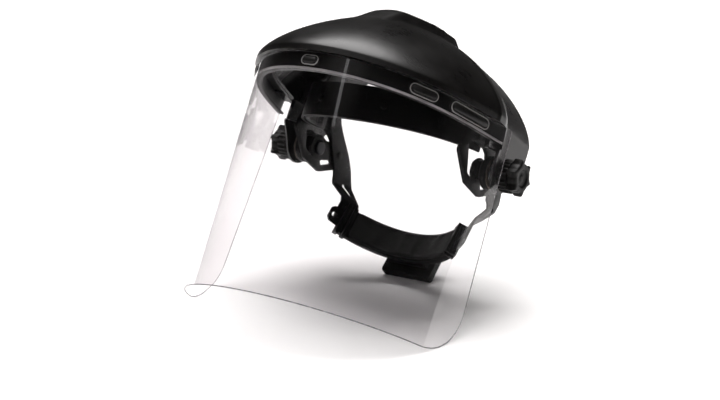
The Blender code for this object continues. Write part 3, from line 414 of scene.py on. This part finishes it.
def stadium(length, height, steps=12):
    """Outline of a slot with round ends."""
    radius = height / 2
    reach = length / 2 - radius
    turn = [math.pi * (i / steps - 0.5) for i in range(steps + 1)]
    right = [(reach + radius * math.cos(t), radius * math.sin(t)) for t in turn]
    return right + [(-a, -b) for a, b in right]


def rounded(corners, steps=6):
    """Outline through (a, b, radius) corners, each one rounded."""
    outline = []
    count = len(corners)
    for i, (a, b, radius) in enumerate(corners):
        here = Vector((a, b))
        before = Vector(corners[i - 1][:2]) - here
        after = Vector(corners[(i + 1) % count][:2]) - here
        half = before.angle(after) / 2
        reach = min(radius / math.tan(half), 0.48 * before.length, 0.48 * after.length)
        start = here + before.normalized() * reach
        end = here + after.normalized() * reach
        for k in range(steps + 1):
            t = k / steps
            point = start * (1 - t) ** 2 + here * 2 * t * (1 - t) + end * t * t
            outline.append((point.x, point.y))
    return outline


def along_x(side):
    """Places (a, b) in the side plane and c outwards, for side 1 (left) or -1 (right)."""
    return lambda a, b, c: (side * c, a, b)


# ---------------------------------------------------------------- the window's surface

WINDOW_LOW_Z = -169.9
WINDOW_TOP_Z = 32.2
WINDOW_CORNER = 44.0
WINDOW_THICK = 1.0
RAIL_LOW_Z = 17.5
SLOT_Z = 25.2
SLOTS = ((0.0, 16.0, 8.0), (101.0, 26.0, 8.5), (150.0, 44.0, 9.0))
LUG_PROUD = 1.6
LIP_LOW_Z = 32.5
SHEET_BACK_Y = -24.6
RIM_WIRE = 0.42


def edge_curve(half, radius, second, fourth, samples=600):
    """Plan of one edge of the sheet by share of its half length, from a polynomial curvature."""
    s = np.linspace(0.0, half, samples)
    u = s / half
    angle = s * (1 / radius + second * u ** 2 / 3 + fourth * u ** 4 / 5)
    across = np.concatenate([[0.0], np.cumsum((np.cos(angle[1:]) + np.cos(angle[:-1])) / 2) * s[1]])
    back = np.concatenate([[0.0], np.cumsum((np.sin(angle[1:]) + np.sin(angle[:-1])) / 2) * s[1]])
    return {"half": half, "u": u, "x": across, "y": back - back[-1] + SHEET_BACK_Y, "angle": angle}


LOW_EDGE = edge_curve(197.0, 130.7, 0.001066, -0.000576)
RAIL_EDGE = edge_curve(201.66, 98.8, -0.008210, -0.004905)


def window_point(u, z, offset=0.0):
    """Point on the sheet's outer face at share u of the half width, moved out by offset."""
    share = (z - WINDOW_LOW_Z) / (RAIL_LOW_Z - WINDOW_LOW_Z)
    side = -1.0 if u < 0 else 1.0
    values = {}
    for key in ("x", "y", "angle"):
        low = np.interp(abs(u), LOW_EDGE["u"], LOW_EDGE[key])
        rail = np.interp(abs(u), RAIL_EDGE["u"], RAIL_EDGE[key])
        values[key] = float(low + (rail - low) * share)
    normal = Vector((side * math.sin(values["angle"]), -math.cos(values["angle"]), 0.0))
    return Vector((side * values["x"], values["y"], z)) + normal * offset


def rail_u(s):
    """Share of the half width at arc length s along the rail."""
    return s / RAIL_EDGE["half"]


def normal_frame(s, z):
    """Places a along the sheet, b up and c out of it, round the point at arc length s."""
    here = window_point(rail_u(s), z)
    out = (window_point(rail_u(s), z, 1.0) - here).normalized()
    along = Vector((-out.y, out.x, 0.0))
    return lambda a, b, c: here + along * a + Vector((0.0, 0.0, b)) + out * c


def slot_places():
    """Arc length, length and height of each of the five slots."""
    for s, length, height in SLOTS:
        for side in ((1,) if s == 0 else (1, -1)):
            yield side * s, length, height


def make_window():
    """The clear sheet, finely divided so that it bends light smoothly."""
    half = RAIL_EDGE["half"]
    corner = [half - WINDOW_CORNER * (1 - math.sin(math.radians(t))) for t in range(0, 91, 5)]
    arcs = list(np.linspace(0.0, half - WINDOW_CORNER, 60))[:-1] + corner
    arcs = [-s for s in reversed(arcs[1:])] + arcs
    sections = []
    for s in arcs:
        beyond = max(0.0, abs(s) - (half - WINDOW_CORNER))
        low = WINDOW_LOW_Z + WINDOW_CORNER - math.sqrt(max(0.0, WINDOW_CORNER ** 2 - beyond ** 2))
        heights = [low, low + 0.9] + list(low + (RAIL_LOW_Z - low) * np.linspace(0.0, 1.0, 30))[1:]
        heights.append(WINDOW_TOP_Z)
        outer = [window_point(rail_u(s), z) for z in heights]
        inner = [window_point(rail_u(s), z, -WINDOW_THICK) for z in heights]
        sections.append([worn(p) for p in outer + inner[::-1]])
    sheet = piece("clear_window", *swept(sections), CLEAR, "visor", "clear_polycarbonate", ["window"])
    sheet.data.materials.append(CUT_EDGE)
    ring = len(sections[0])
    last = len(sections) - 1
    for face in sheet.data.polygons:
        columns = {v // ring for v in face.vertices}
        outward = {v % ring < ring // 2 for v in face.vertices}
        rows = {min(v % ring, ring - 1 - v % ring) for v in face.vertices}
        edge = (len(outward) == 2 or rows <= {0, 1} or columns <= {0, 1, 2}
                or columns <= {last - 2, last - 1, last})
        face.material_index = int(edge)
    for number, (s, length, height) in enumerate(slot_places()):
        cut(sheet, "DIFFERENCE", f"slot_{number}",
            *prism(stadium(length, height), -4.0, 4.0, normal_frame(s, SLOT_Z)))
    settle_modifiers(sheet)
    soften(sheet, 0.0, 25.0)


def make_slot_rims():
    """The raised rim round each slot of the sheet: a frosted cut edge whose pale grey is also a painted
    highlight of light caught by the slot's edge.
    """
    points = []
    faces = []
    for s, length, height in slot_places():
        place = normal_frame(s, SLOT_Z)
        outline = stadium(length, height, 14)
        count = len(outline)
        base = len(points)
        for i, (a, b) in enumerate(outline):
            ahead = Vector(outline[(i + 1) % count]) - Vector(outline[i - 1])
            side = Vector((ahead.y, -ahead.x)).normalized()
            for k in range(8):
                turn = math.tau * k / 8
                reach = RIM_WIRE * math.cos(turn)
                points.append(worn(place(a + side.x * reach, b + side.y * reach,
                                         0.1 + RIM_WIRE * math.sin(turn))))
        for i in range(count):
            for k in range(8):
                faces.append(tuple(base + (i + di) % count * 8 + (k + dk) % 8
                                   for di, dk in ((0, 0), (1, 0), (1, 1), (0, 1))))
    piece("slot_rims_painted_highlight", points, faces, SLOT_EDGE_HIGHLIGHT, "visor", "clear_polycarbonate")


def make_rail():
    """The band behind the sheet's top edge, with a rounded inward lip below and the five lugs."""
    face = -WINDOW_THICK - GAP
    wall = face - 2.4
    flange = face - 11.0
    lip = face - 6.0
    top = LIP_LOW_Z - GAP
    low = RAIL_LOW_Z
    section = [(face, low + 0.6), (face, low + 1.9), (face, top), (flange, top), (flange, top - 2.0),
               (wall - 0.8, top - 2.0), (wall - 0.2, top - 2.2), (wall, top - 2.8), (wall, low + 3.2),
               (wall - 0.3, low + 2.4), (wall - 0.9, low + 2.1), (lip + 0.5, low + 2.0),
               (lip + 0.1, low + 1.7), (lip, low + 1.1), (lip + 0.1, low + 0.5), (lip + 0.5, low + 0.1),
               (lip + 1.0, low), (face - 0.6, low), (face - 0.18, low + 0.18)]
    rail = piece("rail_band", *swept([[worn(window_point(rail_u(s), z, off)) for off, z in section]
                                      for s in np.linspace(-195.0, 195.0, 157)]),
                 RAIL, "visor", "headband_plastic", ["window_rail"])
    # The rounded lower front edge of the rail gets the pale grey, a painted reflection of the floor.
    rail.data.materials.append(BEAD_PAINTED_REFLECTION)
    ring = len(section)
    painted_reflection_rows = {0, 1, ring - 1, ring - 2}
    for band in rail.data.polygons:
        band.material_index = int({v % ring for v in band.vertices} <= painted_reflection_rows)
    for number, (s, length, height) in enumerate(slot_places()):
        place = normal_frame(s, SLOT_Z)
        layers = ((0.0, wall + 0.8), (0.0, LUG_PROUD - 0.8), (0.25, LUG_PROUD - 0.3), (0.8, LUG_PROUD))
        rings = [[place(a, b, c) for a, b in stadium(length - 3.0 - 2 * inset, height - 3.0 - 2 * inset)]
                 for inset, c in layers]
        cut(rail, "UNION", f"lug_{number}", *swept(rings))
    settle_modifiers(rail)
    soften(rail, 0.0, 40.0)


# ---------------------------------------------------------------- crown

CROWN_THICK = 2.5
POCKET_X = 101.6
LIP_TOP_Z = 37.0
LIP_OVERHANG = 3.8
EAR_X = 107.6
EAR_BACK_Y = 35.0
EAR_RADIUS = 17.0
SPINE_TOP_Z = 118.0
SPINE_BACK_Y = 28.0
POLE_Y = -55.0


def crown_rim():
    """Right half of the rim in plan, from the front to the back of the ear."""
    rim = []
    for s in np.linspace(0.0, 178.0, 64):
        p = window_point(rail_u(s), LIP_LOW_Z, LIP_OVERHANG)
        rim.append((p.x, p.y))
    start = window_point(rail_u(178.0), LIP_LOW_Z, LIP_OVERHANG)
    swell = start.x + 1.0
    stations = [y for y in np.arange(math.ceil(start.y + 1.0), -24.5, 1.5)] + [-24.2, -23.8]
    stations += list(np.arange(-22.5, -13.7, 1.0)) + list(np.arange(-13.6, 13.7, 0.85)) + [13.6]
    stations += list(np.arange(15.0, EAR_BACK_Y, 1.6)) + [EAR_BACK_Y]
    for y in stations:
        rim.append((EAR_X + (swell - EAR_X) * (1 - smooth((y + 38.0) / 28.0)), y))
    return rim


def ear_low(y):
    """Height of the crown's lower edge: the lip in front, the rounded ear at the pivot."""
    if y < -24.0:
        return LIP_LOW_Z
    if y < -EAR_RADIUS * 0.8:
        return -10.0 + 24.0 * (-y - EAR_RADIUS * 0.8) / (24.0 - EAR_RADIUS * 0.8)
    if y < EAR_RADIUS * 0.8:
        return -math.sqrt(EAR_RADIUS ** 2 - y ** 2)
    return -10.0 + 34.0 * (y - EAR_RADIUS * 0.8) / (EAR_BACK_Y - EAR_RADIUS * 0.8)


def ridge(x, y):
    """The raised ridge along the middle, steep along its rear sides."""
    length = smooth((y + 112.0) / 40.0) * smooth((14.0 - y) / 18.0)
    half = 13.0 + 11.0 * smooth((y + 100.0) / 90.0)
    ramp = 7.0 - 2.6 * smooth((y + 60.0) / 45.0)
    return 7.5 * length * smooth((half + 5.0 - abs(x)) / ramp)


def crown_columns():
    """Columns of points from the rim up to the spine, all round the crown."""
    right = crown_rim()
    rim = [(-x, y) for x, y in reversed(right[1:])] + right
    turns = [math.pi / 2 * (i / 54) ** 0.9 for i in range(1, 55)]
    columns = []
    for x, y in rim:
        low = ear_low(y)
        column = [(x, y, low + (LIP_TOP_Z - low) * t) for t in np.linspace(0.0, 1.0, 9)]
        share = max(0.0, (y + 110.0) / (EAR_BACK_Y + 110.0))
        top_y = POLE_Y + (SPINE_BACK_Y - POLE_Y) * share ** 1.6
        top_z = SPINE_TOP_Z - 0.0013 * (SPINE_BACK_Y - top_y) ** 2
        power = 1.34 + 0.13 * smooth((y + 130.0) / 110.0)
        for turn in turns:
            inward = 1 - abs(math.cos(turn)) ** (2 / power)
            rise = math.sin(turn) ** (2 / power)
            px = x * (1 - inward)
            py = y + (top_y - y) * inward
            column.append((px, py, LIP_TOP_Z + (top_z - LIP_TOP_Z) * rise + ridge(px, py)))
        columns.append([worn(p) for p in column])
    return columns


def make_crown():
    """The moulded dome with its inner ledge, ears, latch pockets and pivot holes."""
    columns = crown_columns()
    rows = len(columns[0])
    points = [p for column in columns for p in column]
    faces = [(i * rows + r, (i + 1) * rows + r, (i + 1) * rows + r + 1, i * rows + r + 1)
             for i in range(len(columns) - 1) for r in range(rows - 1)]
    crown = piece("crown_dome", points, faces, CROWN, "visor", "crown_plastic",
                  [name for name in nodes if name.startswith("crown_")])
    shape = bmesh.new()
    shape.from_mesh(crown.data)
    bmesh.ops.remove_doubles(shape, verts=shape.verts, dist=2e-5)
    bmesh.ops.dissolve_degenerate(shape, dist=1e-5, edges=shape.edges)
    bmesh.ops.recalc_face_normals(shape, faces=shape.faces)
    middle = min(shape.faces, key=lambda f: (f.calc_center_median() - worn((0, -40, 125))).length)
    if middle.normal.z < 0:
        bmesh.ops.reverse_faces(shape, faces=shape.faces)
    shape.to_mesh(crown.data)
    shape.free()
    wall = crown.modifiers.new("wall", "SOLIDIFY")
    wall.thickness = CROWN_THICK * MM
    wall.offset = -1.0
    wall.use_even_offset = False
    ledge = []
    for s in np.linspace(-193.0, 193.0, 111):
        reach = LIP_OVERHANG - 1.2 - 3.6 * smooth((abs(s) - 172.0) / 12.0)
        ledge.append([window_point(rail_u(s), z, off) for off, z in (
            (reach, 32.8), (reach, 34.8), (-12.3, 34.8), (-12.3, 32.8))])
    cut(crown, "UNION", "ledge", *swept(ledge))
    block = rounded([(-31.6, 13.2, 2.0), (-10.0, 17.2, 2.0), (-12.6, 32.5, 2.0), (-31.6, 32.5, 2.0)])
    pocket = rounded([(-30.0, 15.0, 1.5), (-11.5, 18.5, 1.5), (-14.0, 31.0, 1.5), (-30.0, 31.0, 1.5)])
    for side in (1, -1):
        cut(crown, "UNION", f"block_{side}", *prism(block, POCKET_X, POCKET_X + 4.2, along_x(side)))
        cut(crown, "DIFFERENCE", f"pivot_{side}", *post([(4.6, 97.0), (4.6, 127.0)], along_x(side), 40))
        cut(crown, "DIFFERENCE", f"pocket_{side}", *prism(pocket, POCKET_X + 1.2, 127.0, along_x(side)))
    settle_modifiers(crown)
    soften(crown, 0.0, 38.0)


# ---------------------------------------------------------------- knobs

KNOB_INNER_X = 107.9
KNOB_OUTER_X = 129.6
KNOB_RADIUS = 16.3
KNOB_POINTS = 144
RATCHET_INNER = 89.3
RATCHET_DEEP = 9.0


def ring_of(reach):
    """A closed outline whose radius is given by reach(share of a turn)."""
    shares = [i / KNOB_POINTS for i in range(KNOB_POINTS)]
    return [(reach(t) * math.cos(math.tau * t), reach(t) * math.sin(math.tau * t)) for t in shares]


def star_reach(radius, depth):
    """Outline of a six-pointed star knob."""
    def reach(t):
        share = t * 6 % 1.0
        return radius - depth * min(1.0, 1.25 * 4 * share * (1 - share)) ** 1.15
    return reach


def rib_reach(radius, depth):
    """Outline of a ribbed skirt."""
    return lambda t: radius - depth * (0.5 + 0.5 * math.cos(math.tau * 24 * t)) ** 0.6


def make_tension_knobs():
    """Grips with a ribbed skirt, a six-pointed star and a dished face."""
    def round_reach(radius):
        return lambda t: radius

    inner = KNOB_INNER_X
    outer = KNOB_OUTER_X
    layers = ((round_reach(9.9), inner), (round_reach(10.5), inner + 0.6), (round_reach(10.5), inner + 3.0),
              (rib_reach(13.8, 0.2), inner + 3.3), (rib_reach(14.6, 0.8), inner + 4.0),
              (rib_reach(14.7, 0.9), outer - 9.6), (rib_reach(14.2, 0.4), outer - 9.1),
              (star_reach(KNOB_RADIUS - 1.6, 2.4), outer - 9.0),
              (star_reach(KNOB_RADIUS - 0.5, 3.0), outer - 8.6),
              (star_reach(KNOB_RADIUS, 3.4), outer - 7.8), (star_reach(KNOB_RADIUS, 3.4), outer - 2.0),
              (star_reach(KNOB_RADIUS - 0.4, 3.4), outer - 1.0),
              (star_reach(KNOB_RADIUS - 1.2, 3.3), outer - 0.3),
              (star_reach(KNOB_RADIUS - 2.2, 3.0), outer), (round_reach(8.6), outer),
              (round_reach(8.2), outer - 0.2), (round_reach(7.6), outer - 1.2),
              (round_reach(7.0), outer - 1.5), (round_reach(3.0), outer - 1.5),
              (round_reach(2.6), outer - 1.2), (round_reach(1.0), outer - 1.1))
    for side, label in ((1, "left"), (-1, "right")):
        place = along_x(side)
        knob = piece(f"knob_grip_{label}", *swept([[worn(place(a, b, x)) for a, b in ring_of(reach)]
                                                   for reach, x in layers]),
                     KNOB, f"tension_knob_{label}_body", "knob_plastic", [f"tension_knob_{label}"])
        cut(knob, "DIFFERENCE", f"bore_{label}", *post([(5.8, 100.0), (5.8, outer - 7.0)], place, 32))
        settle_modifiers(knob)
        soften(knob, 0.0, 34.0)


NAPE_CENTRE = Vector((0.0, -7.6, -38.5))
NAPE_OUT = Vector((0.0, math.cos(NAPE_LEAN), -math.sin(NAPE_LEAN)))
NAPE_UP = Vector((0.0, math.sin(NAPE_LEAN), math.cos(NAPE_LEAN)))


def nape_point(angle, radius, height):
    """Point round the nape sleeve's axis."""
    across = Vector((radius * math.sin(angle), 0.0, 0.0))
    return NAPE_CENTRE + across + NAPE_OUT * radius * math.cos(angle) + NAPE_UP * height


def nape_flat(a, b, c):
    """Point in the ratchet's own frame: a across, b up and c out from the nape's axis."""
    return NAPE_CENTRE + Vector((a, 0.0, 0.0)) + NAPE_UP * b + NAPE_OUT * c


def gripped(inset, depth):
    """The ratchet knob's outline: a rounded rectangle with grip ribs along its edges."""
    wide, tall, radius = 26.0 - inset, 22.0 - inset, max(0.6, 3.0 - inset)
    outline = []
    for reach, across, turn in ((wide, tall, 0), (tall, wide, 1), (wide, tall, 2), (tall, wide, 3)):
        edge = []
        for b in np.linspace(-(across - radius), across - radius, 61):
            envelope = smooth((across - radius - abs(b)) / 3.0)
            groove = depth * envelope * (0.5 - 0.5 * math.cos(math.tau * b / 2.6)) ** 0.7
            edge.append((reach - groove, float(b)))
        for k in range(1, 8):
            corner = math.pi / 2 * k / 8
            edge.append((reach - radius + radius * math.cos(corner),
                         across - radius + radius * math.sin(corner)))
        cos, sin = ((1, 0), (0, 1), (-1, 0), (0, -1))[turn]
        outline += [(a * cos - b * sin, a * sin + b * cos) for a, b in edge]
    return outline


def make_ratchet_grip():
    """The large knob behind the head, ribbed for grip, with a well for its screw."""
    inner = RATCHET_INNER
    outer = inner + RATCHET_DEEP
    layers = ((1.0, 0.0, inner), (0.3, 0.1, inner + 0.3), (0.0, 0.5, inner + 1.0), (0.0, 0.7, outer - 2.0),
              (0.3, 0.4, outer - 1.0), (0.8, 0.1, outer - 0.35), (1.5, 0.0, outer), (4.5, 0.0, outer),
              (4.9, 0.0, outer - 0.35), (5.4, 0.0, outer - 0.45))
    knob = piece("ratchet_grip", *swept([[worn(nape_flat(a, b, c)) for a, b in gripped(inset, depth)]
                                         for inset, depth, c in layers]),
                 KNOB, "ratchet", "knob_plastic", ["ratchet_knob"])
    for name, profile in (("well", [(4.3, outer - 2.6), (4.3, outer + 1.0)]),
                          ("socket", [(3.3, inner - 1.0), (3.3, inner + 5.5)]),
                          ("thread", [(1.9, inner + 5.0), (1.9, outer - 1.6)]),
                          ("spring_seat", [(13.0, inner - 1.0), (13.0, inner + 1.3)])):
        cut(knob, "DIFFERENCE", name, *post(profile, nape_flat, 40))
    settle_modifiers(knob)
    soften(knob, 0.0, 34.0)


# ---------------------------------------------------------------- pads

BROW_HALF_WIDTH = 83.0
BROW_DEPTH = 94.0
BROW_POWER = 2.3
PAD_RING = 30
STITCH = 3.6
CLOTH_FRAMES = 20


def brow_point(t, height, offset):
    """A point by the brow band: t from -1 to 1 along it, height up it, offset out from its face."""
    reach = math.radians(90.0) * abs(t)
    power = 2 / BROW_POWER
    x = BROW_HALF_WIDTH * math.sin(reach) ** power
    y = -BROW_DEPTH * math.cos(reach) ** power
    normal = Vector((x ** (BROW_POWER - 1) / BROW_HALF_WIDTH ** BROW_POWER,
                     -abs(y) ** (BROW_POWER - 1) / BROW_DEPTH ** BROW_POWER)).normalized()
    low = 2.5 + 0.15 * (y + BROW_DEPTH)
    return Vector(((-1.0 if t < 0 else 1.0) * (x + normal.x * offset), y + normal.y * offset, low + height))


def even_places(place, reach, spacing):
    """Values of t from -reach to reach that lie evenly along the middle of a curved pad."""
    ts = np.linspace(-reach, reach, 800)
    track = np.array([place(t, 0.0, 0.0) for t in ts])
    length = np.concatenate([[0.0], np.cumsum(np.linalg.norm(np.diff(track, axis=0), axis=1))])
    return [float(t) for t in np.interp(np.linspace(0, length[-1], int(length[-1] / spacing)), length, ts)]


def cushion(name, node, place, reach, half_height, thick, bulge):
    """A stuffed pad on a curved strap: its back is held and its front swells between quilting rows."""
    stations = even_places(place, reach, 3.4)
    points = []
    held = []
    count = len(stations)
    for row, t in enumerate(stations):
        from_end = min(row, count - 1 - row)
        taper = (0.62, 0.86, 0.97)[from_end] if from_end < 3 else 1.0
        for k in range(PAD_RING):
            turn = math.tau * k / PAD_RING
            a, b = math.cos(turn), math.sin(turn)
            high = math.copysign(abs(a) ** 0.42, a) * (half_height - 1.6 * (1 - taper))
            deep = math.copysign(abs(b) ** 0.62, b) * thick / 2 * taper
            if deep > 0 or abs(high) > half_height - 2.2:
                held.append(len(points))
            points.append(worn(place(t, high, deep)))
    faces = []
    for row in range(count - 1):
        for k in range(PAD_RING):
            m = (k + 1) % PAD_RING
            low = row * PAD_RING
            faces.append((low + k, low + m, low + PAD_RING + m, low + PAD_RING + k))
    for first, middle in ((0, place(stations[0], 0.0, 0.0)),
                          ((count - 1) * PAD_RING, place(stations[-1], 0.0, 0.0))):
        points.append(worn(middle))
        for k in range(PAD_RING):
            faces.append((first + k, first + (k + 1) % PAD_RING, len(points) - 1))
    pad = piece(name, points, faces, CLOTH, "headgear", "sweatband_foam", [node])
    inflate(pad, held, bulge)
    finer_pad = pad.modifiers.new("finer", "SUBSURF")
    finer_pad.levels = 1
    finer_pad.render_levels = 1
    settle_modifiers(pad)
    return pad


def inflate(pad, held, limit):
    """Swells the pad as cloth over its filling, and keeps every point within limit of its start."""
    group = pad.vertex_groups.new(name="held")
    group.add(held, 1.0, "REPLACE")
    start = [v.co.copy() for v in pad.data.vertices]
    cloth = pad.modifiers.new("cloth", "CLOTH")
    settings = cloth.settings
    settings.quality = 6
    settings.mass = 0.08
    settings.tension_stiffness = 14.0
    settings.compression_stiffness = 6.0
    settings.bending_stiffness = 0.08
    settings.use_pressure = True
    settings.uniform_pressure_force = 4.0
    settings.shrink_min = -0.05
    settings.vertex_group_mass = "held"
    settings.effector_weights.gravity = 0.0
    cloth.point_cache.frame_end = CLOTH_FRAMES
    scene = bpy.context.scene
    for number in range(1, CLOTH_FRAMES + 1):
        scene.frame_set(number)
    view = bpy.context.evaluated_depsgraph_get()
    made = pad.evaluated_get(view).to_mesh()
    ends = [v.co.copy() for v in made.vertices]
    pad.modifiers.clear()
    pad.vertex_groups.clear()
    scene.frame_set(1)
    for vertex, a, b in zip(pad.data.vertices, start, ends):
        move = b - a
        if move.length > limit * MM:
            move = move.normalized() * limit * MM
        vertex.co = a + move


def make_sleeve_collars():
    """Two raised ribs round each end of the nape sleeve."""
    points = []
    faces = []
    for side in (1, -1):
        for first, last in ((0.775, 0.83), (0.868, 0.922)):
            for inner, outer, low, high in ((73.9, 76.6, -14.9, 14.9), (82.9, 83.9, -14.9, 14.9),
                                            (73.9, 83.9, 14.1, 14.9), (73.9, 83.9, -14.9, -14.1)):
                rings = [[worn(nape_point(side * a, r, h)) for r, h in
                          ((inner, low), (inner, high), (outer, high), (outer, low))]
                         for a in np.linspace(first, last, 4)]
                made, sides = swept(rings)
                faces += [tuple(len(points) + k for k in f) for f in sides]
                points += made
    collars = piece("sleeve_collars", points, faces, BAND, "headgear", "headband_plastic")
    soften(collars, 0.25, 40.0)


def stitches(name, pad, place, reach, heights, pitch):
    """Rows of short stitches sunk into the pad's face."""
    points = []
    faces = []
    inverse = pad.matrix_world.inverted()
    for height in heights:
        track = even_places(place, reach, pitch)
        for t, after in zip(track[:-1], track[1:]):
            ends = []
            for share in (0.18, 0.5, 0.82):
                guess = worn(place(t + (after - t) * share, height, -20.0))
                hit = pad.closest_point_on_mesh(inverse @ guess)
                outward = (guess - worn(place(t, height, 0.0))).normalized()
                ends.append(pad.matrix_world @ hit[1] + outward * (0.25 if share == 0.5 else -0.1) * MM)
            up = (worn(place(t, height + 1, 0.0)) - worn(place(t, height, 0.0))).normalized()
            out = (worn(place(t, height, -1.0)) - worn(place(t, height, 0.0))).normalized()
            base = len(points)
            for centre in ends:
                for k in range(6):
                    turn = math.tau * k / 6
                    points.append(centre + (up * math.cos(turn) + out * math.sin(turn)) * 0.32 * MM)
            for row in (0, 6):
                for k in range(6):
                    m = (k + 1) % 6
                    faces.append((base + row + k, base + row + m, base + row + 6 + m, base + row + 6 + k))
            faces.append(tuple(base + k for k in range(6)))
            faces.append(tuple(base + 12 + k for k in reversed(range(6))))
    piece(name, points, faces, THREAD, "headgear", "sweatband_foam")


def make_pads():
    """The two sweatbands with their stitching, and the ribs of the sleeve that carries one."""
    def brow(t, height, deep):
        return brow_point(t, 15.8 + height, -2.1 - 3.35 + deep)

    def nape(t, height, deep):
        return nape_point(t, 76.5 - 1.75 + deep, height)

    pad = cushion("brow_cushion", "brow_pad", brow, 0.925, 15.4, 6.2, 1.1)
    stitches("brow_stitches", pad, brow, 0.90, (-12.6, 12.6), STITCH)
    pad = cushion("nape_cushion", "nape_pad", nape, 0.755, 13.6, 3.1, 0.8)
    stitches("nape_stitches", pad, nape, 0.73, (-11.0, 11.0), STITCH)
    make_sleeve_collars()


# ---------------------------------------------------------------- stage, light and camera

SWEEP_LIGHT = 0.06
ROOM_LIGHT = 0.012
ABOVE_LIGHT = 1.35


def make_stage():
    """The pale floor, and a world that is bright to the camera and dim to the object."""
    mesh = bpy.data.meshes.new("floor")
    mesh.from_pydata([(-2.4, -2.4, 0), (2.4, -2.4, 0), (2.4, 2.4, 0), (-2.4, 2.4, 0)], [], [(0, 1, 2, 3)])
    mesh.materials.append(pale_floor())
    floor = bpy.data.objects.new("floor", mesh)
    bpy.context.scene.collection.objects.link(floor)
    world = bpy.data.worlds.new("studio")
    world.use_nodes = True
    tree = world.node_tree

    def add(kind):
        return tree.nodes.new(kind)

    def ramp(value, start, end, low, high):
        node = add("ShaderNodeMapRange")
        for key, number in (("From Min", start), ("From Max", end), ("To Min", low), ("To Max", high)):
            node.inputs[key].default_value = number
        tree.links.new(value, node.inputs["Value"])
        return node.outputs["Result"]

    def combine(operation, a, b):
        node = add("ShaderNodeMath")
        node.operation = operation
        tree.links.new(a, node.inputs[0])
        tree.links.new(b, node.inputs[1])
        return node.outputs["Value"]

    axes = add("ShaderNodeSeparateXYZ")
    tree.links.new(add("ShaderNodeTexCoord").outputs["Generated"], axes.inputs["Vector"])
    sweep = combine("MULTIPLY", ramp(axes.outputs["Y"], -0.15, 0.4, 0.0, SWEEP_LIGHT),
                    ramp(axes.outputs["Z"], 0.10, 0.24, 1.0, 0.0))
    above = ramp(axes.outputs["Z"], 0.60, 0.96, ROOM_LIGHT, ABOVE_LIGHT)
    dim = tree.nodes["Background"]
    dim.inputs["Color"].default_value = (1.0, 0.97, 0.965, 1.0)
    tree.links.new(combine("ADD", sweep, above), dim.inputs["Strength"])
    backdrop = add("ShaderNodeBackground")
    backdrop.inputs["Strength"].default_value = 1.25
    backdrop.inputs["Color"].default_value = (1.0, 1.0, 1.0, 1.0)
    path = add("ShaderNodeLightPath")
    straight = combine("MULTIPLY", ramp(path.outputs["Diffuse Depth"], 0.4, 0.6, 1.0, 0.0),
                       ramp(path.outputs["Glossy Depth"], 0.4, 0.6, 1.0, 0.0))
    mix = add("ShaderNodeMixShader")
    tree.links.new(straight, mix.inputs["Fac"])
    tree.links.new(dim.outputs["Background"], mix.inputs[1])
    tree.links.new(backdrop.outputs["Background"], mix.inputs[2])
    tree.links.new(mix.outputs["Shader"], tree.nodes["World Output"].inputs["Surface"])
    bpy.context.scene.world = world


def soft_light(name, place, aim, size, power):
    """A rectangular light that faces a point."""
    data = bpy.data.lights.new(name, "AREA")
    data.shape = "RECTANGLE"
    data.size = size[0]
    data.size_y = size[1]
    data.energy = power
    obj = bpy.data.objects.new(name, data)
    obj.location = place
    obj.rotation_mode = "QUATERNION"
    obj.rotation_quaternion = (Vector(aim) - Vector(place)).to_track_quat("-Z", "Y")
    bpy.context.scene.collection.objects.link(obj)


def make_camera():
    """The photograph's camera, as fitted to the sheet's outline."""
    data = bpy.data.cameras.new("camera")
    data.lens = 87.97
    data.sensor_width = 36.0
    data.clip_start = 0.05
    data.clip_end = 50.0
    camera = bpy.data.objects.new("camera", data)
    place = PIVOT + Vector((0.83361, -1.27342, 0.34990))
    target = PIVOT + Vector((0.012689, -0.073729, -0.020021))
    camera.location = place
    camera.rotation_mode = "QUATERNION"
    camera.rotation_quaternion = (target - place).to_track_quat("-Z", "Y")
    bpy.context.scene.collection.objects.link(camera)
    bpy.context.scene.camera = camera


def overhead_light():
    """The wide, soft light that makes the broad shadow on the floor."""
    data = bpy.data.lights.new("overhead", "SUN")
    data.energy = 4.0
    data.angle = math.radians(52.0)
    data.color = (1.0, 0.985, 0.98)
    obj = bpy.data.objects.new("overhead", data)
    obj.rotation_mode = "QUATERNION"
    obj.rotation_quaternion = Vector((0.19, -0.19, -0.95)).to_track_quat("-Z", "Y")
    bpy.context.scene.collection.objects.link(obj)


make_window()
make_slot_rims()
make_rail()
make_crown()
make_tension_knobs()
make_ratchet_grip()
make_pads()
make_stage()
overhead_light()
soft_light("streak", (0.13, -1.31, 1.2), (0.033, -0.065, 0.204), (0.09, 0.14), 0.042)
make_camera()
bpy.context.scene.view_settings.view_transform = "Standard"
